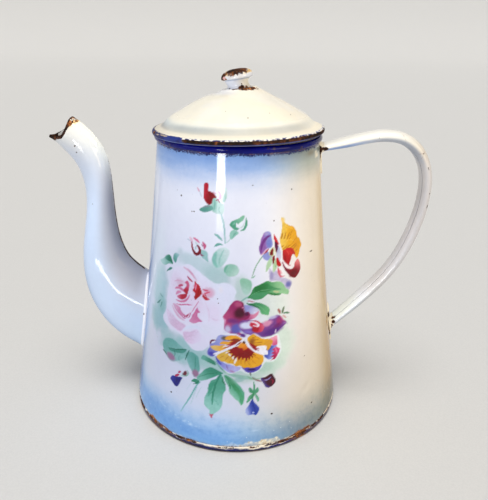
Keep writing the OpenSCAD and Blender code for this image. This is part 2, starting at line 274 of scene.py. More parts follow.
def bouquet(b):
    """A spray of one full rose, two pansies and a few buds, painted back to front."""
    ground = b.c.copy()
    # pale green ground behind the flowers
    for cx, cz, rx, rz, c, a, turn in (
            (-52, 101, 11, 25, (0.66, 0.83, 0.84), 0.9, 0), (-51, 83, 14, 15, (0.62, 0.80, 0.81), 0.9, 0),
            (-30, 68, 26, 13, (0.62, 0.80, 0.79), 0.85, -8), (-22, 128, 24, 8, (0.75, 0.86, 0.88), 0.7, -12),
            (-9, 122, 13, 10, (0.68, 0.82, 0.81), 0.75, -30), (6, 114, 8, 13, (0.74, 0.86, 0.82), 0.7, 10),
            (-4, 63, 26, 10, (0.64, 0.81, 0.78), 0.75, 0), (17, 62, 19, 12, (0.70, 0.83, 0.77), 0.75, 10),
            (27, 78, 15, 24, (0.78, 0.87, 0.82), 0.7, 0), (24, 103, 15, 14, (0.82, 0.88, 0.84), 0.6, 0),
            (-50, 94, 6, 8, (0.55, 0.77, 0.74), 0.7, 0)):
        b.wash(cx, cz, rx, rz, c, a, turn)

    # --- leaves that lie behind
    b.fill([(-11.5, 136), (-8, 139.5), (-4, 140.5), (-1.5, 138), (-2.5, 134), (-5, 130), (-8, 127.5), (-11, 128.5),
            (-12, 132)], (0.66, 0.84, 0.80), 1.6, 0.85, to=((0.80, 0.90, 0.90), (-9, 133), (-2, 137)))
    b.line([(-10, 137), (-11.2, 132), (-9, 128)], 2.6, (0.52, 0.77, 0.71), 1.4, 0.8)
    b.line([(-5, 139), (-7.5, 134), (-8, 129)], 0.8, (0.56, 0.78, 0.73), 0.8, 0.7)
    b.fill([(-5, 127), (-3.5, 129.5), (0, 130.3), (3, 129), (4.2, 126), (2, 123), (-2, 122.5), (-4, 124.5)],
           (0.56, 0.79, 0.69), 1.2, 0.85, to=((0.70, 0.86, 0.79), (-2, 128), (3, 124)))
    b.line([(-2.5, 129.3), (-4.2, 127), (-4.2, 124.8)], 1.2, (0.44, 0.71, 0.61), 0.8, 0.7)
    b.fill([(5, 121), (8, 121.5), (11, 119.3), (11.6, 115.5), (10, 111.5), (7, 111), (5, 116)],
           (0.56, 0.79, 0.66), 1.2, 0.85, to=((0.70, 0.86, 0.80), (9, 119), (6, 112)))
    b.fill([(-54, 122.5), (-50, 125), (-47, 127.5), (-44.5, 128.5), (-42, 127.5), (-40.5, 124), (-41.5, 123.3),
            (-44, 123), (-46.5, 121.5), (-50, 120.3), (-53, 121.3)], (0.50, 0.75, 0.68), 0.8, 0.95,
           to=((0.62, 0.82, 0.78), (-44, 125), (-53, 122)))
    b.fill([(-48.8, 125.2), (-46, 127.6), (-44, 128.4), (-42, 127), (-40.6, 123.6), (-43, 124.4), (-46, 124.4)],
           (0.12, 0.51, 0.40), 0.8, 0.9, to=((0.30, 0.62, 0.54), (-43, 126), (-49, 125)))
    b.fill([(-40.5, 127.5), (-39.6, 130.5), (-37.5, 131.8), (-35.2, 131.2), (-37, 128.5), (-38, 125.3), (-39.2, 125.3)],
           (0.36, 0.66, 0.60), 0.8, 0.9, to=((0.66, 0.82, 0.82), (-39, 127), (-36, 132)))
    b.fill([(-46.6, 117), (-45, 119.6), (-43, 121), (-40.8, 120.9), (-42.5, 119.6), (-44.5, 118.7)],
           (0.28, 0.61, 0.54), 0.6, 0.95)
    b.line([(-46, 117.6), (-43.5, 120), (-41.5, 120.7)], 0.5, (0.12, 0.42, 0.36), 0.4, 0.7)
    b.line([(-52.2, 99.6), (-50.5, 98.8), (-48.6, 98)], 1.1, (0.36, 0.60, 0.59), 0.7, 0.85)
    b.line([(-54.6, 91.4), (-52.5, 93.2), (-50.4, 95.6)], 1.2, (0.16, 0.47, 0.43), 0.6, 0.95, (0.5, 0.2))
    b.line([(-50.8, 90.4), (-49.8, 92.4), (-49.2, 94.6)], 1.0, (0.30, 0.58, 0.54), 0.6, 0.85)

    # leaf with two lobes behind the side pansy, and the leaf above the large pansy
    b.fill([(9, 109), (11, 111), (13, 115), (17, 116.8), (21.5, 118.5), (25, 117.5), (30, 117), (33, 113.5),
            (35.8, 110.5), (35, 107.3), (31, 108.6), (28, 108), (25, 108.6), (22, 110), (18, 107.5), (14, 107),
            (11, 108)], (0.24, 0.58, 0.34), 0.7, 0.98, to=((0.60, 0.80, 0.62), (17, 112), (31, 111)))
    b.fill([(13.2, 114.6), (17, 116.4), (21, 117.2), (25, 114.5), (30, 111.6), (25, 112.2), (19, 112), (14.5, 112)],
           (0.17, 0.51, 0.27), 0.9, 0.9, to=((0.32, 0.62, 0.42), (17, 114), (27, 113)))
    b.fill([(10, 109), (14, 111.2), (19, 111.6), (22, 110.6), (18, 108), (14, 107.4)], (0.34, 0.65, 0.46), 0.9, 0.8)
    b.line([(22, 110.4), (25.5, 108.9), (30, 108.3)], 1.5, (0.19, 0.51, 0.26), 0.6, 0.9)
    b.line([(25.2, 111.4), (26.8, 110.6), (28.8, 110)], 1.1, (0.82, 0.82, 0.64), 0.7, 0.85)
    b.line([(10, 109.2), (14.5, 111.8), (20, 113), (27, 113.2)], 0.4, (0.62, 0.82, 0.68), 0.4, 0.5)
    b.line([(8.8, 106.7), (11, 106.4), (13.6, 105.6)], 0.9, (0.74, 0.47, 0.50), 0.7, 0.8)
    b.fill([(8.4, 105.3), (11, 104.9), (15, 105.3), (18.5, 104.2), (21, 102.6), (22.3, 100.5), (22.2, 97.8),
            (21.8, 96.3), (19.5, 97), (17.6, 98), (16.6, 100.6), (14, 102.2), (12, 102)],
           (0.27, 0.60, 0.40), 0.6, 0.97, to=((0.42, 0.72, 0.50), (13, 104), (21, 98)))
    b.line([(8.6, 105), (12.5, 103.4), (16.2, 101.6)], 1.0, (0.13, 0.42, 0.26), 0.5, 0.85, (0.1, 0.4))
    b.line([(14, 104), (18, 101.5), (20.5, 98)], 0.4, (0.62, 0.82, 0.64), 0.4, 0.5)
    b.line([(4.5, 105.8), (7, 108), (9.5, 109.6)], 1.0, (0.52, 0.76, 0.68), 0.8, 0.8)

    # --- full rose
    b.fill([(-26, 126.6), (-20, 123.2), (-14, 119.4), (-9.5, 117), (-4.5, 118.3), (0.5, 116), (2.5, 112), (1, 107),
            (-1, 103), (-3, 98), (-4, 91), (-5, 85.5), (-8, 82.5), (-11.5, 79.5), (-13.5, 75), (-16, 72), (-20, 70.4),
            (-24, 71), (-27.5, 74.5), (-31, 78.6), (-36, 79.8), (-41, 79.6), (-45.6, 82), (-47.2, 85.5), (-45, 90),
            (-44.2, 96), (-43.8, 103), (-42.6, 110), (-40.6, 116), (-39, 121), (-34, 124), (-30, 126)],
           (0.900, 0.885, 0.955), 1.6, 0.92, to=((0.885, 0.90, 0.965), (-30, 100), (-2, 108)), grain=0.04)
    b.wash(-24, 106, 16, 19, (0.90, 0.82, 0.91), 0.65, 0, 0.2)
    b.wash(-37, 112, 7, 11, (0.90, 0.82, 0.91), 0.5, 20, 0.2)
    b.wash(-10, 98, 7, 12, (0.90, 0.84, 0.93), 0.6, 10, 0.2)
    # outer petals below
    b.fill([(-44, 91.5), (-39, 90.5), (-34, 87.5), (-28.5, 86), (-30, 83), (-32.5, 80.6), (-37, 81.5), (-42, 84)],
           (0.885, 0.75, 0.865), 2.2, 0.85, to=((0.90, 0.84, 0.93), (-34, 84), (-45, 90)))
    b.fill([(-30, 81), (-25, 82.8), (-20.5, 85), (-18, 81), (-19, 77), (-24, 74), (-28.5, 75.5)],
           (0.885, 0.765, 0.88), 2.0, 0.85, to=((0.89, 0.85, 0.94), (-27, 80), (-18, 77)))
    b.line([(-30, 82), (-26.5, 85.5), (-20.5, 86.8), (-14, 84)], 2.2, (0.86, 0.90, 0.965), 1.4, 0.75)
    b.wash(-15, 86, 6, 6, (0.87, 0.88, 0.93), 0.6, 0, 0.2)
    b.line([(-40, 94), (-34, 89), (-29, 87.6), (-22, 88)], 1.4, (0.93, 0.94, 0.985), 1.0, 0.6)
    # turned petal edges round the heart
    b.line([(-31.5, 124), (-27.5, 122.6), (-24, 119.4), (-22, 117)], 1.7, (0.89, 0.68, 0.78), 1.1, 0.7)
    b.line([(-28.5, 122.8), (-25.5, 121.2), (-24, 119.8)], 0.9, (0.86, 0.58, 0.70), 0.7, 0.6)
    b.line([(-27, 120.5), (-23, 117.5), (-19, 115)], 1.0, PALE, 0.8, 0.6)
    b.wash(-33.5, 113.5, 4.5, 3.5, (0.90, 0.76, 0.85), 0.7, -10, 0.2)
    b.line([(-28.6, 118.6), (-26.6, 117.1), (-24.4, 115.8)], 1.1, (0.72, 0.22, 0.38), 0.5, 0.95)
    b.line([(-27.8, 116.8), (-24.8, 114.8)], 0.6, (0.95, 0.92, 0.97), 0.5, 0.6)
    b.line([(-38, 113), (-35.5, 114.4), (-32, 114.6)], 0.9, (0.87, 0.66, 0.77), 0.8, 0.7)
    b.line([(-35, 110.6), (-33, 111.6), (-31.4, 112)], 1.5, (0.76, 0.28, 0.43), 0.6, 0.9)
    b.line([(-37.8, 108.4), (-34.5, 109.6), (-31, 108.8), (-28.6, 107)], 1.5, (0.83, 0.46, 0.60), 0.9, 0.85)
    b.line([(-36.8, 104.6), (-35, 106.6), (-32.6, 107.4)], 1.8, (0.86, 0.55, 0.68), 1.0, 0.85)
    b.fill([(-30.2, 114.4), (-28.2, 115.8), (-26.8, 114), (-26.9, 110), (-27.4, 107), (-29, 106.9), (-30.6, 109),
            (-29, 111.2), (-28.8, 113)], (0.83, 0.40, 0.54), 0.8, 0.97, to=((0.72, 0.07, 0.22), (-28.5, 113), (-28.5, 108)))
    b.fill([(-35.8, 103.4), (-33, 105.6), (-30, 106.4), (-27.8, 106.8), (-28.4, 104.8), (-30.6, 103), (-33, 102.4)],
           (0.84, 0.46, 0.58), 0.8, 0.95, to=((0.73, 0.09, 0.24), (-35, 104), (-31.4, 104.4)))
    b.line([(-36.8, 101), (-33, 101), (-30, 102), (-27.4, 104.2), (-25.9, 106.8)], 1.2, (0.84, 0.48, 0.63), 0.6, 0.9)
    b.line([(-36.2, 98.2), (-32, 99), (-28, 100), (-25, 100.8)], 0.9, (0.83, 0.44, 0.60), 0.5, 0.9)
    b.line([(-34, 97.4), (-29, 98.6), (-24, 99.6)], 1.4, (0.90, 0.90, 0.97), 0.9, 0.7)
    # heart
    b.fill([(-23.2, 117), (-21.8, 115.6), (-20.4, 114.8), (-19, 112.2), (-18.2, 109.6), (-20, 107), (-22.2, 104.3),
            (-22.8, 106), (-22.2, 108.4), (-24, 110.2), (-23, 113)], (0.79, 0.10, 0.20), 0.6, 0.98,
           to=((0.70, 0.03, 0.10), (-23, 112), (-19.5, 108.5)), grain=0.16)
    b.line([(-23.6, 112.2), (-22.6, 115.4)], 1.2, (0.86, 0.46, 0.58), 0.6, 0.7)
    b.line([(-22, 114.8), (-22.3, 112.6), (-22.3, 110.6)], 0.6, (0.92, 0.78, 0.86), 0.5, 0.85)
    b.line([(-20.2, 113.4), (-20.4, 110.2), (-21.3, 107)], 0.5, (0.52, 0.01, 0.06), 0.5, 0.5)
    b.wash(-13.5, 110.5, 5, 4.5, (0.92, 0.66, 0.76), 0.75, 20, 0.2)
    b.line([(-18.2, 109), (-15.6, 110.4), (-13, 111.6)], 0.9, (0.84, 0.30, 0.42), 0.6, 0.85)
    b.line([(-17.8, 112.4), (-16.2, 112), (-14.4, 112.2)], 1.1, (0.82, 0.30, 0.42), 0.7, 0.8)
    b.fill([(-17.6, 108.3), (-16.2, 109.6), (-14.8, 107.7), (-13, 106.2), (-15.8, 105.6), (-17.2, 106.8)],
           (0.74, 0.08, 0.16), 0.6, 0.95, to=((0.88, 0.42, 0.52), (-16, 107), (-12.6, 106.6)))
    b.line([(-18, 112.2), (-17.6, 110.6), (-15.2, 106.8)], 0.6, (0.94, 0.86, 0.92), 0.5, 0.8)
    # V fold under the heart
    b.fill([(-38.6, 98), (-34, 97.3), (-32.4, 95.4), (-31, 93.8), (-28.8, 92.6), (-29.6, 91.4), (-33, 93), (-36, 95.6)],
           (0.84, 0.52, 0.66), 0.8, 0.85, to=((0.88, 0.66, 0.78), (-31, 93), (-38, 97)))
    b.line([(-38.8, 97.4), (-35.6, 94.4), (-32, 91.8), (-29.4, 90.6), (-27, 92.4)], 0.9, (0.80, 0.42, 0.58), 0.6, 0.75)
    b.line([(-39.5, 96), (-36, 92.4), (-32.5, 89.8), (-29.6, 89.2)], 1.8, (0.89, 0.70, 0.81), 1.1, 0.75)
    b.line([(-29.8, 91.4), (-27.4, 93), (-25.2, 95.6)], 0.8, (0.70, 0.18, 0.36), 0.5, 0.9)
    b.line([(-27.4, 91.2), (-25.8, 93.2), (-25, 95.6)], 0.6, (0.74, 0.28, 0.46), 0.5, 0.85)
    b.line([(-19.6, 104.6), (-21.4, 102.2), (-23.6, 99), (-25.2, 96.4), (-27.2, 91.6)], 1.3, (0.95, 0.93, 0.98), 0.8, 0.7)
    b.line([(-19.8, 104.4), (-21.4, 101.6), (-23.4, 98.6), (-25, 95.6)], 0.6, (0.82, 0.48, 0.64), 0.5, 0.9)
    b.fill([(-20.8, 99.6), (-20.2, 97.8), (-19, 96.7), (-20.6, 95.8), (-20, 93.5), (-17, 91.4), (-19.5, 90.4),
            (-22.5, 88.8), (-26.3, 89.4), (-25, 92), (-23.6, 95), (-22.4, 97.5)], (0.82, 0.44, 0.62), 0.7, 0.92,
           to=((0.86, 0.58, 0.72), (-22, 97), (-25, 89)))
    b.line([(-24.8, 90), (-22.6, 93.4), (-21.4, 97)], 0.8, (0.88, 0.62, 0.75), 0.8, 0.5)
    b.line([(-16, 104), (-13.5, 98), (-13, 92)], 0.9, (0.90, 0.80, 0.90), 1.0, 0.6)
    b.line([(-6, 114), (-3, 108), (-5, 101)], 1.2, (0.88, 0.88, 0.95), 1.2, 0.6)
    b.line([(-12, 94.5), (-9.5, 93.6), (-7.5, 93.8)], 0.9, (0.88, 0.78, 0.89), 0.8, 0.6)
    b.wash(-6.5, 113.5, 2.2, 3.6, (0.96, 0.94, 0.965), 0.6, 0, 0.2)

    # --- leaves and stems below the rose
    b.fill([(-45.6, 66), (-43.5, 70.8), (-38.5, 72.8), (-34, 71.6), (-30, 69.6), (-26.6, 68.6), (-27, 64.5), (-31, 60.6),
            (-34, 58.4), (-37, 57), (-41, 58.4), (-44, 61.5)], (0.42, 0.70, 0.65), 1.4, 0.85,
           to=((0.55, 0.77, 0.74), (-42, 69), (-32, 60)))
    b.fill([(-40.5, 65), (-36, 66), (-31.5, 67.6), (-27, 69.3), (-29, 66.2), (-34, 64.8), (-38, 64)], (0.24, 0.58, 0.50), 0.8, 0.75)
    b.line([(-41, 65.2), (-35, 66.6), (-30, 68.2), (-27.2, 69.4)], 0.7, (0.14, 0.46, 0.37), 0.5, 0.85)
    b.line([(-36, 66.2), (-35, 63.4), (-35.6, 61)], 0.6, (0.20, 0.47, 0.41), 0.5, 0.7)
    b.line([(-31, 64.5), (-32, 61.5), (-31, 60)], 0.7, (0.44, 0.68, 0.64), 0.6, 0.6)
    b.wash(-38, 60, 4.6, 3.4, (0.66, 0.49, 0.62), 0.95, -15, 0.35)
    b.line([(-45, 61.6), (-43.6, 61), (-42, 60)], 0.9, (0.13, 0.40, 0.33), 0.5, 0.85)
    b.fill([(-27, 66.5), (-23.5, 68.6), (-19.5, 66.5), (-18, 62), (-18, 57), (-19.8, 53), (-21.4, 51.4), (-22.4, 54.5),
            (-24.4, 58), (-26.2, 62)], (0.48, 0.73, 0.69), 1.2, 0.85, to=((0.36, 0.66, 0.60), (-26, 60), (-19, 64)))
    b.line([(-25, 69.4), (-26.4, 66), (-27.6, 61.8)], 0.8, (0.14, 0.44, 0.37), 0.5, 0.9)
    b.line([(-21, 66), (-20.6, 61), (-21, 56)], 0.7, (0.26, 0.58, 0.51), 0.6, 0.7)
    b.wash(-20.4, 54.4, 2.8, 3.6, (0.64, 0.49, 0.60), 0.95, 10, 0.4)
    b.fill([(-17.4, 65.6), (-15.6, 68.6), (-12, 66.8), (-9.6, 65), (-8.8, 62.4), (-12, 63.2), (-15, 64.8)],
           (0.22, 0.57, 0.44), 0.7, 0.92, to=((0.42, 0.70, 0.62), (-11, 64), (-16, 66)))
    b.line([(-8.6, 65), (-6, 61.4), (-3, 58.2)], 1.2, (0.30, 0.60, 0.52), 0.7, 0.9)
    b.line([(-4.5, 59.6), (-1.5, 57.6), (3, 56.6), (9, 55.6)], 1.6, (0.62, 0.80, 0.70), 1.0, 0.7)
    b.fill([(-19.6, 51.5), (-17, 55.6), (-14, 59.4), (-10.6, 60.3), (-7, 58.8), (-4.2, 57.4), (-7.5, 55.4), (-11, 53.2),
            (-14.6, 50.8), (-17.6, 49.8)], (0.24, 0.60, 0.48), 0.8, 0.95, to=((0.48, 0.74, 0.66), (-10, 58), (-16, 50.5)))
    b.line([(-18.6, 52), (-13, 55.6), (-7, 57.4)], 0.5, (0.14, 0.47, 0.35), 0.5, 0.6)
    b.fill([(-5.4, 56.4), (-8.4, 53), (-11, 51.4), (-12.4, 47.5), (-13, 43), (-14.2, 38.5), (-14.4, 34), (-12.8, 31.6),
            (-11.2, 30), (-10.8, 27), (-10, 24.4), (-9, 27), (-7.6, 29.4), (-5.6, 32), (-4.4, 36), (-4.2, 42), (-2.6, 46.5),
            (-3.4, 51)], (0.33, 0.66, 0.55), 0.8, 0.95, to=((0.56, 0.79, 0.74), (-8, 51), (-9.5, 33)))
    b.fill([(-5.8, 55.6), (-8, 51.6), (-11.8, 49), (-12.6, 45), (-12.4, 41.6), (-11, 44.4), (-9.8, 47.6), (-8, 49.6)],
           (0.24, 0.60, 0.48), 0.9, 0.7)
    b.line([(-5.8, 56), (-8.2, 50), (-9.8, 43), (-10.2, 36.5), (-10, 34.4)], 1.1, (0.20, 0.55, 0.44), 0.6, 0.85, (0.8, 0.3))
    b.line([(-9.6, 45), (-11.6, 42), (-12.6, 40)], 0.5, (0.28, 0.60, 0.50), 0.5, 0.6)
    b.line([(-10, 39), (-7.4, 36.4), (-6.4, 34)], 0.5, (0.40, 0.68, 0.60), 0.5, 0.6)
    b.fill([(-11.2, 27.6), (-10, 27), (-8.9, 27.6), (-9.4, 25.6), (-10, 24.2), (-10.7, 25.6)], (0.77, 0.38, 0.48), 0.6, 0.95)
    b.fill([(-3.6, 56.2), (-0.6, 55.2), (2.4, 52.4), (5, 48.8), (7, 45.2), (7.6, 41), (7.1, 36.8), (5.8, 35.2), (4.6, 37.6),
            (2, 40.8), (-0.4, 44), (-1, 48), (-3, 51.6)], (0.36, 0.68, 0.54), 0.7, 0.95,
           to=((0.56, 0.79, 0.70), (3.5, 47), (-1, 44)))
    b.fill([(-3.4, 55.8), (0, 53.6), (3, 49.4), (6, 44), (7.2, 39), (6, 35.6), (5, 38), (4.4, 43), (1, 48), (-2, 53)],
           (0.17, 0.54, 0.34), 0.9, 0.85, to=((0.33, 0.66, 0.48), (-2, 54), (6, 40)))
    b.line([(-4.8, 54.6), (-4.4, 51.6), (-3, 49.6)], 0.8, (0.16, 0.48, 0.34), 0.5, 0.8)
    b.line([(-1.5, 51.6), (-0.4, 49), (-0.2, 46.8)], 0.8, (0.18, 0.50, 0.34), 0.5, 0.8)
    b.line([(-17.4, 49), (-20, 43.6), (-24, 34), (-28.8, 22.4)], 1.0, (0.42, 0.71, 0.67), 0.6, 0.85, (0.6, 0.1))
    b.line([(-18.2, 47), (-20.4, 39), (-22.4, 31)], 0.5, (0.58, 0.78, 0.78), 0.5, 0.55)
    b.line([(-16, 46), (-18, 41), (-19.4, 36)], 0.5, (0.62, 0.80, 0.80), 0.5, 0.45)
    b.line([(-21.4, 49), (-24, 44), (-25.6, 40)], 0.4, (0.62, 0.80, 0.82), 0.5, 0.4)
    b.fill([(-22.6, 48), (-21, 50.2), (-18.6, 50), (-17.8, 48.2), (-19.4, 46.4), (-20.4, 47.6)], (0.22, 0.58, 0.46), 0.6, 0.95)
    b.line([(-21.4, 46), (-19.4, 47.4), (-17.8, 50)], 0.6, (0.14, 0.46, 0.34), 0.4, 0.8)

    # --- small buds
    b.wash(7, 53.5, 12.5, 5.2, (0.70, 0.80, 0.765), 0.5, 0, 0.2)
    b.line([(-1, 56.8), (4, 55.6), (9, 54.8), (13.4, 54)], 2.6, (0.55, 0.745, 0.68), 1.3, 0.75)
    b.wash(4.6, 53.4, 3.4, 2.2, (0.55, 0.745, 0.71), 0.6, 0, 0.5)
    b.wash(19, 61, 6.5, 4.0, (0.62, 0.77, 0.70), 0.35, 0, 0.6)
    b.line([(-33.6, 47.2), (-32.2, 48.6), (-31, 49.6)], 1.4, (0.72, 0.16, 0.32), 0.5, 0.95)
    b.line([(-31.4, 50.6), (-30.8, 51.6), (-30.3, 52.2)], 1.4, (0.72, 0.20, 0.36), 0.5, 0.95)
    b.line([(-30, 48.6), (-28.8, 50), (-29, 52)], 0.8, (0.64, 0.80, 0.78), 0.5, 0.8)
    b.line([(-28.6, 49.6), (-26.2, 50.6), (-25.2, 52.6), (-26, 54.4)], 0.9, (0.50, 0.71, 0.62), 0.5, 0.8)
    b.fill([(-28.6, 50.6), (-28, 52.8), (-26.6, 53.8), (-26, 52.2), (-27, 50.4)], (0.42, 0.16, 0.22), 0.5, 0.95)
    b.fill([(-37, 44), (-35.4, 46.8), (-33, 47.3), (-29, 48.2), (-30, 45), (-31, 41.6), (-32.2, 40), (-34, 40.6),
            (-36, 42.4)], NAVY, 0.6, 0.98, to=((0.16, 0.22, 0.62), (-32, 44), (-36, 45)))
    b.line([(-32.6, 46.8), (-32.2, 43.4)], 0.5, (0.03, 0.03, 0.28), 0.5, 0.7)
    b.line([(12, 54.6), (14.4, 52.6), (17, 51.2)], 1.0, (0.55, 0.32, 0.34), 0.7, 0.8)
    b.line([(9, 55.8), (12, 53.6), (17, 53.4)], 0.9, (0.50, 0.68, 0.54), 0.7, 0.7)
    b.fill([(16.6, 53.2), (19.4, 53.8), (22.6, 55.4), (24, 53), (25, 50), (24, 47.4), (21.6, 46), (19.6, 46.8),
            (18.2, 49.6)], (0.27, 0.02, 0.14), 0.6, 0.98, to=((0.36, 0.34, 0.66), (21, 50.6), (17.6, 49)))
    b.line([(18.6, 51.8), (20.4, 51.6), (22.4, 52.8)], 0.9, (0.62, 0.60, 0.82), 0.5, 0.9)
    b.line([(22.6, 51.6), (23.6, 50), (23.2, 48)], 0.8, (0.62, 0.06, 0.22), 0.5, 0.8)
    b.line([(19.6, 48.6), (20.6, 47), (22.4, 46.6)], 0.8, (0.30, 0.22, 0.58), 0.5, 0.8)
    b.line([(12.6, 51.4), (12.7, 47.6), (12.3, 43), (12, 39)], 1.3, (0.30, 0.62, 0.46), 0.5, 0.92, (0.2, 0.5))
    b.line([(10.3, 47.2), (11.0, 44.9), (12.4, 43.6)], 2.2, (0.27, 0.60, 0.43), 0.5, 0.92)
    b.line([(14.8, 47.2), (14.2, 44.9), (12.6, 43.6)], 2.1, (0.31, 0.62, 0.46), 0.5, 0.92)
    b.line([(9.3, 37.2), (10.6, 40.2), (12.2, 43.4)], 2.0, (0.34, 0.65, 0.48), 0.5, 0.9)
    b.line([(15, 37), (14.4, 40.6), (12.8, 43.4)], 1.5, (0.38, 0.67, 0.52), 0.5, 0.85)
    b.line([(11.2, 39.4), (12.0, 41.4), (12.6, 43.4)], 1.2, (0.27, 0.58, 0.40), 0.5, 0.85)
    b.fill([(12, 39.2), (10.6, 36), (8.8, 33), (8.1, 30), (9.4, 27.4), (12, 27.9), (14, 27.2), (15.4, 30.6), (14.8, 33.6),
            (13.2, 36.6)], (0.62, 0.68, 0.88), 0.7, 0.96, to=((0.19, 0.29, 0.66), (8.6, 31), (12.2, 31.4)))
    b.line([(12, 38.4), (12.6, 34), (13.6, 29)], 0.8, (0.12, 0.20, 0.56), 0.6, 0.6)
    b.fill([(11.6, 29), (12.2, 29.8), (12.8, 29), (12.2, 28.4)], (0.72, 0.78, 0.93), 0.5, 0.9)

    # --- large pansy, upper petals
    b.fill([(7, 103.8), (9.6, 103.8), (13, 102.6), (16, 101.2), (16.2, 99.2), (14.6, 97), (11, 97.6), (8.6, 98.8)],
           (0.62, 0.64, 0.85), 0.9, 0.96, to=((0.82, 0.83, 0.93), (8.5, 102), (14.5, 98.5)))
    b.fill([(8, 95.6), (10.6, 97.4), (13.4, 97.8), (16.2, 99.8), (15.6, 97.4), (13.6, 95.2), (10.4, 94), (6.6, 93.8)],
           (0.72, 0.34, 0.56), 0.8, 0.96, to=((0.88, 0.58, 0.68), (8.4, 95), (14, 97.4)))
    b.fill([(-5, 96), (-3, 99.5), (-0.6, 104), (2, 106.8), (5, 106.6), (6.8, 105), (7.1, 101.6), (7.8, 98.6), (9.6, 99.6),
            (11.2, 97.2), (9, 94.6), (6, 93.6), (4.4, 91.4), (3.6, 88), (5, 85.5), (7.6, 83.2), (5, 83), (1.4, 84.4),
            (-2.4, 86), (-4, 88.4), (-3.6, 91.4), (-3, 94)], (0.74, 0.30, 0.50), 0.8, 0.97,
           to=((0.62, 0.14, 0.40), (-3, 97), (4, 101)))
    b.wash(3.6, 104.6, 4.4, 3.0, (0.80, 0.42, 0.56), 0.75, -15, 0.2)
    b.wash(4.6, 98.6, 4.8, 5.2, (0.33, 0.0, 0.17), 0.97, -30, 0.25)
    b.wash(8.8, 98.2, 1.8, 1.8, (0.36, 0.04, 0.30), 0.9, 0, 0.4)
    b.wash(1.0, 93.6, 5.2, 2.4, (0.50, 0.20, 0.52), 0.85, 0, 0.25)
    b.wash(2.6, 88.4, 4.8, 5.2, (0.42, 0.44, 0.75), 0.95, 15, 0.35)
    b.wash(-2.2, 88.2, 3.0, 4.0, (0.80, 0.83, 0.94), 0.9, 0, 0.3)
    b.wash(6.4, 83.8, 2.6, 2.0, (0.38, 0.20, 0.56), 0.9, 0, 0.4)
    b.line([(-4.6, 96), (-3.4, 93), (-3.8, 90.4)], 1.1, (0.86, 0.56, 0.70), 0.8, 0.8)
    b.line([(5.8, 106), (6.7, 103.2), (6.9, 99.6)], 0.8, (0.48, 0.04, 0.26), 0.6, 0.7)
    b.fill([(6, 102.4), (6.6, 103), (6.9, 102.3), (6.4, 101.8)], (0.90, 0.66, 0.76), 0.5, 0.8)
    b.fill([(3.8, 91.4), (5.4, 93.6), (9, 93.9), (13, 93.2), (17, 91.8), (20, 91.6), (22.4, 93.6), (26, 94.8), (29, 94.2),
            (30.6, 92), (33.6, 88.4), (31.6, 86.8), (28, 84.6), (24, 82.3), (20, 81.6), (16, 82.2), (12, 83.8), (8.4, 84.6),
            (5.6, 87.4)], (0.50, 0.28, 0.58), 0.8, 0.97, grain=0.14)
    b.wash(9.0, 90.4, 5.6, 3.6, (0.84, 0.87, 0.96), 0.98, 0, 0.45)
    b.wash(9.4, 86.2, 4.6, 2.4, (0.56, 0.50, 0.80), 0.9, -10, 0.3)
    b.wash(21, 90.6, 5.2, 2.8, (0.86, 0.62, 0.73), 0.95, 10, 0.3)
    b.wash(24.6, 94, 4.4, 1.6, (0.74, 0.74, 0.88), 0.9, 5, 0.3)
    b.wash(24, 84.8, 9.5, 3.4, (0.37, 0.19, 0.54), 0.92, 12, 0.3)
    b.wash(28.6, 91, 3.2, 4.0, (0.64, 0.22, 0.46), 0.92, 0, 0.3)
    b.wash(27, 88, 4.0, 2.4, (0.46, 0.12, 0.42), 0.7, 20, 0.2)
    b.wash(13.4, 82.9, 4.4, 1.3, (0.42, 0.34, 0.70), 0.85, 0, 0.3)
    b.fill([(10.4, 90.4), (11.6, 92.6), (14.6, 93.2), (17.6, 91), (19, 88.4), (17.6, 86), (14.4, 85.4), (11.8, 86.6),
            (12.4, 88.6)], (0.80, 0.16, 0.27), 1.1, 0.95, to=((0.86, 0.42, 0.52), (14, 88), (19, 89)))
    b.line([(9.4, 92.6), (12.6, 92.4), (15, 91.4), (15, 89.8), (12.4, 90.4)], 1.4, (0.95, 0.94, 0.98), 0.7, 0.92)
    b.line([(12, 93.4), (15.4, 92.6), (18, 90.6)], 0.7, (0.80, 0.16, 0.28), 0.5, 0.9)
    b.fill([(11.6, 88.4), (13.6, 89.4), (16, 88.4), (14.6, 86), (12, 86.6)], (0.68, 0.05, 0.14), 0.7, 0.8)
    b.line([(26.2, 85.4), (25.8, 83)], 0.7, (0.92, 0.88, 0.94), 0.5, 0.9)
    b.line([(29, 94.2), (30.4, 91.6), (32.6, 89)], 0.7, (0.86, 0.52, 0.64), 0.6, 0.8)
    b.line([(31, 88.6), (33.4, 88), (34.4, 87)], 0.8, (0.72, 0.66, 0.80), 0.8, 0.6)
    # star of four small leaves
    b.line([(30.4, 95.4), (31, 97.4), (31.8, 99.6)], 1.5, (0.42, 0.50, 0.38), 0.5, 0.92)
    b.line([(29, 95.6), (28.4, 97.4), (27.8, 98.8)], 1.6, (0.66, 0.42, 0.38), 0.5, 0.92)
    b.line([(31.2, 95.4), (33.4, 95.2), (35.8, 94.4)], 1.3, (0.36, 0.55, 0.40), 0.5, 0.92)
    b.line([(30.8, 94.2), (32, 93), (33.6, 91.6)], 1.2, (0.82, 0.66, 0.64), 0.5, 0.85)

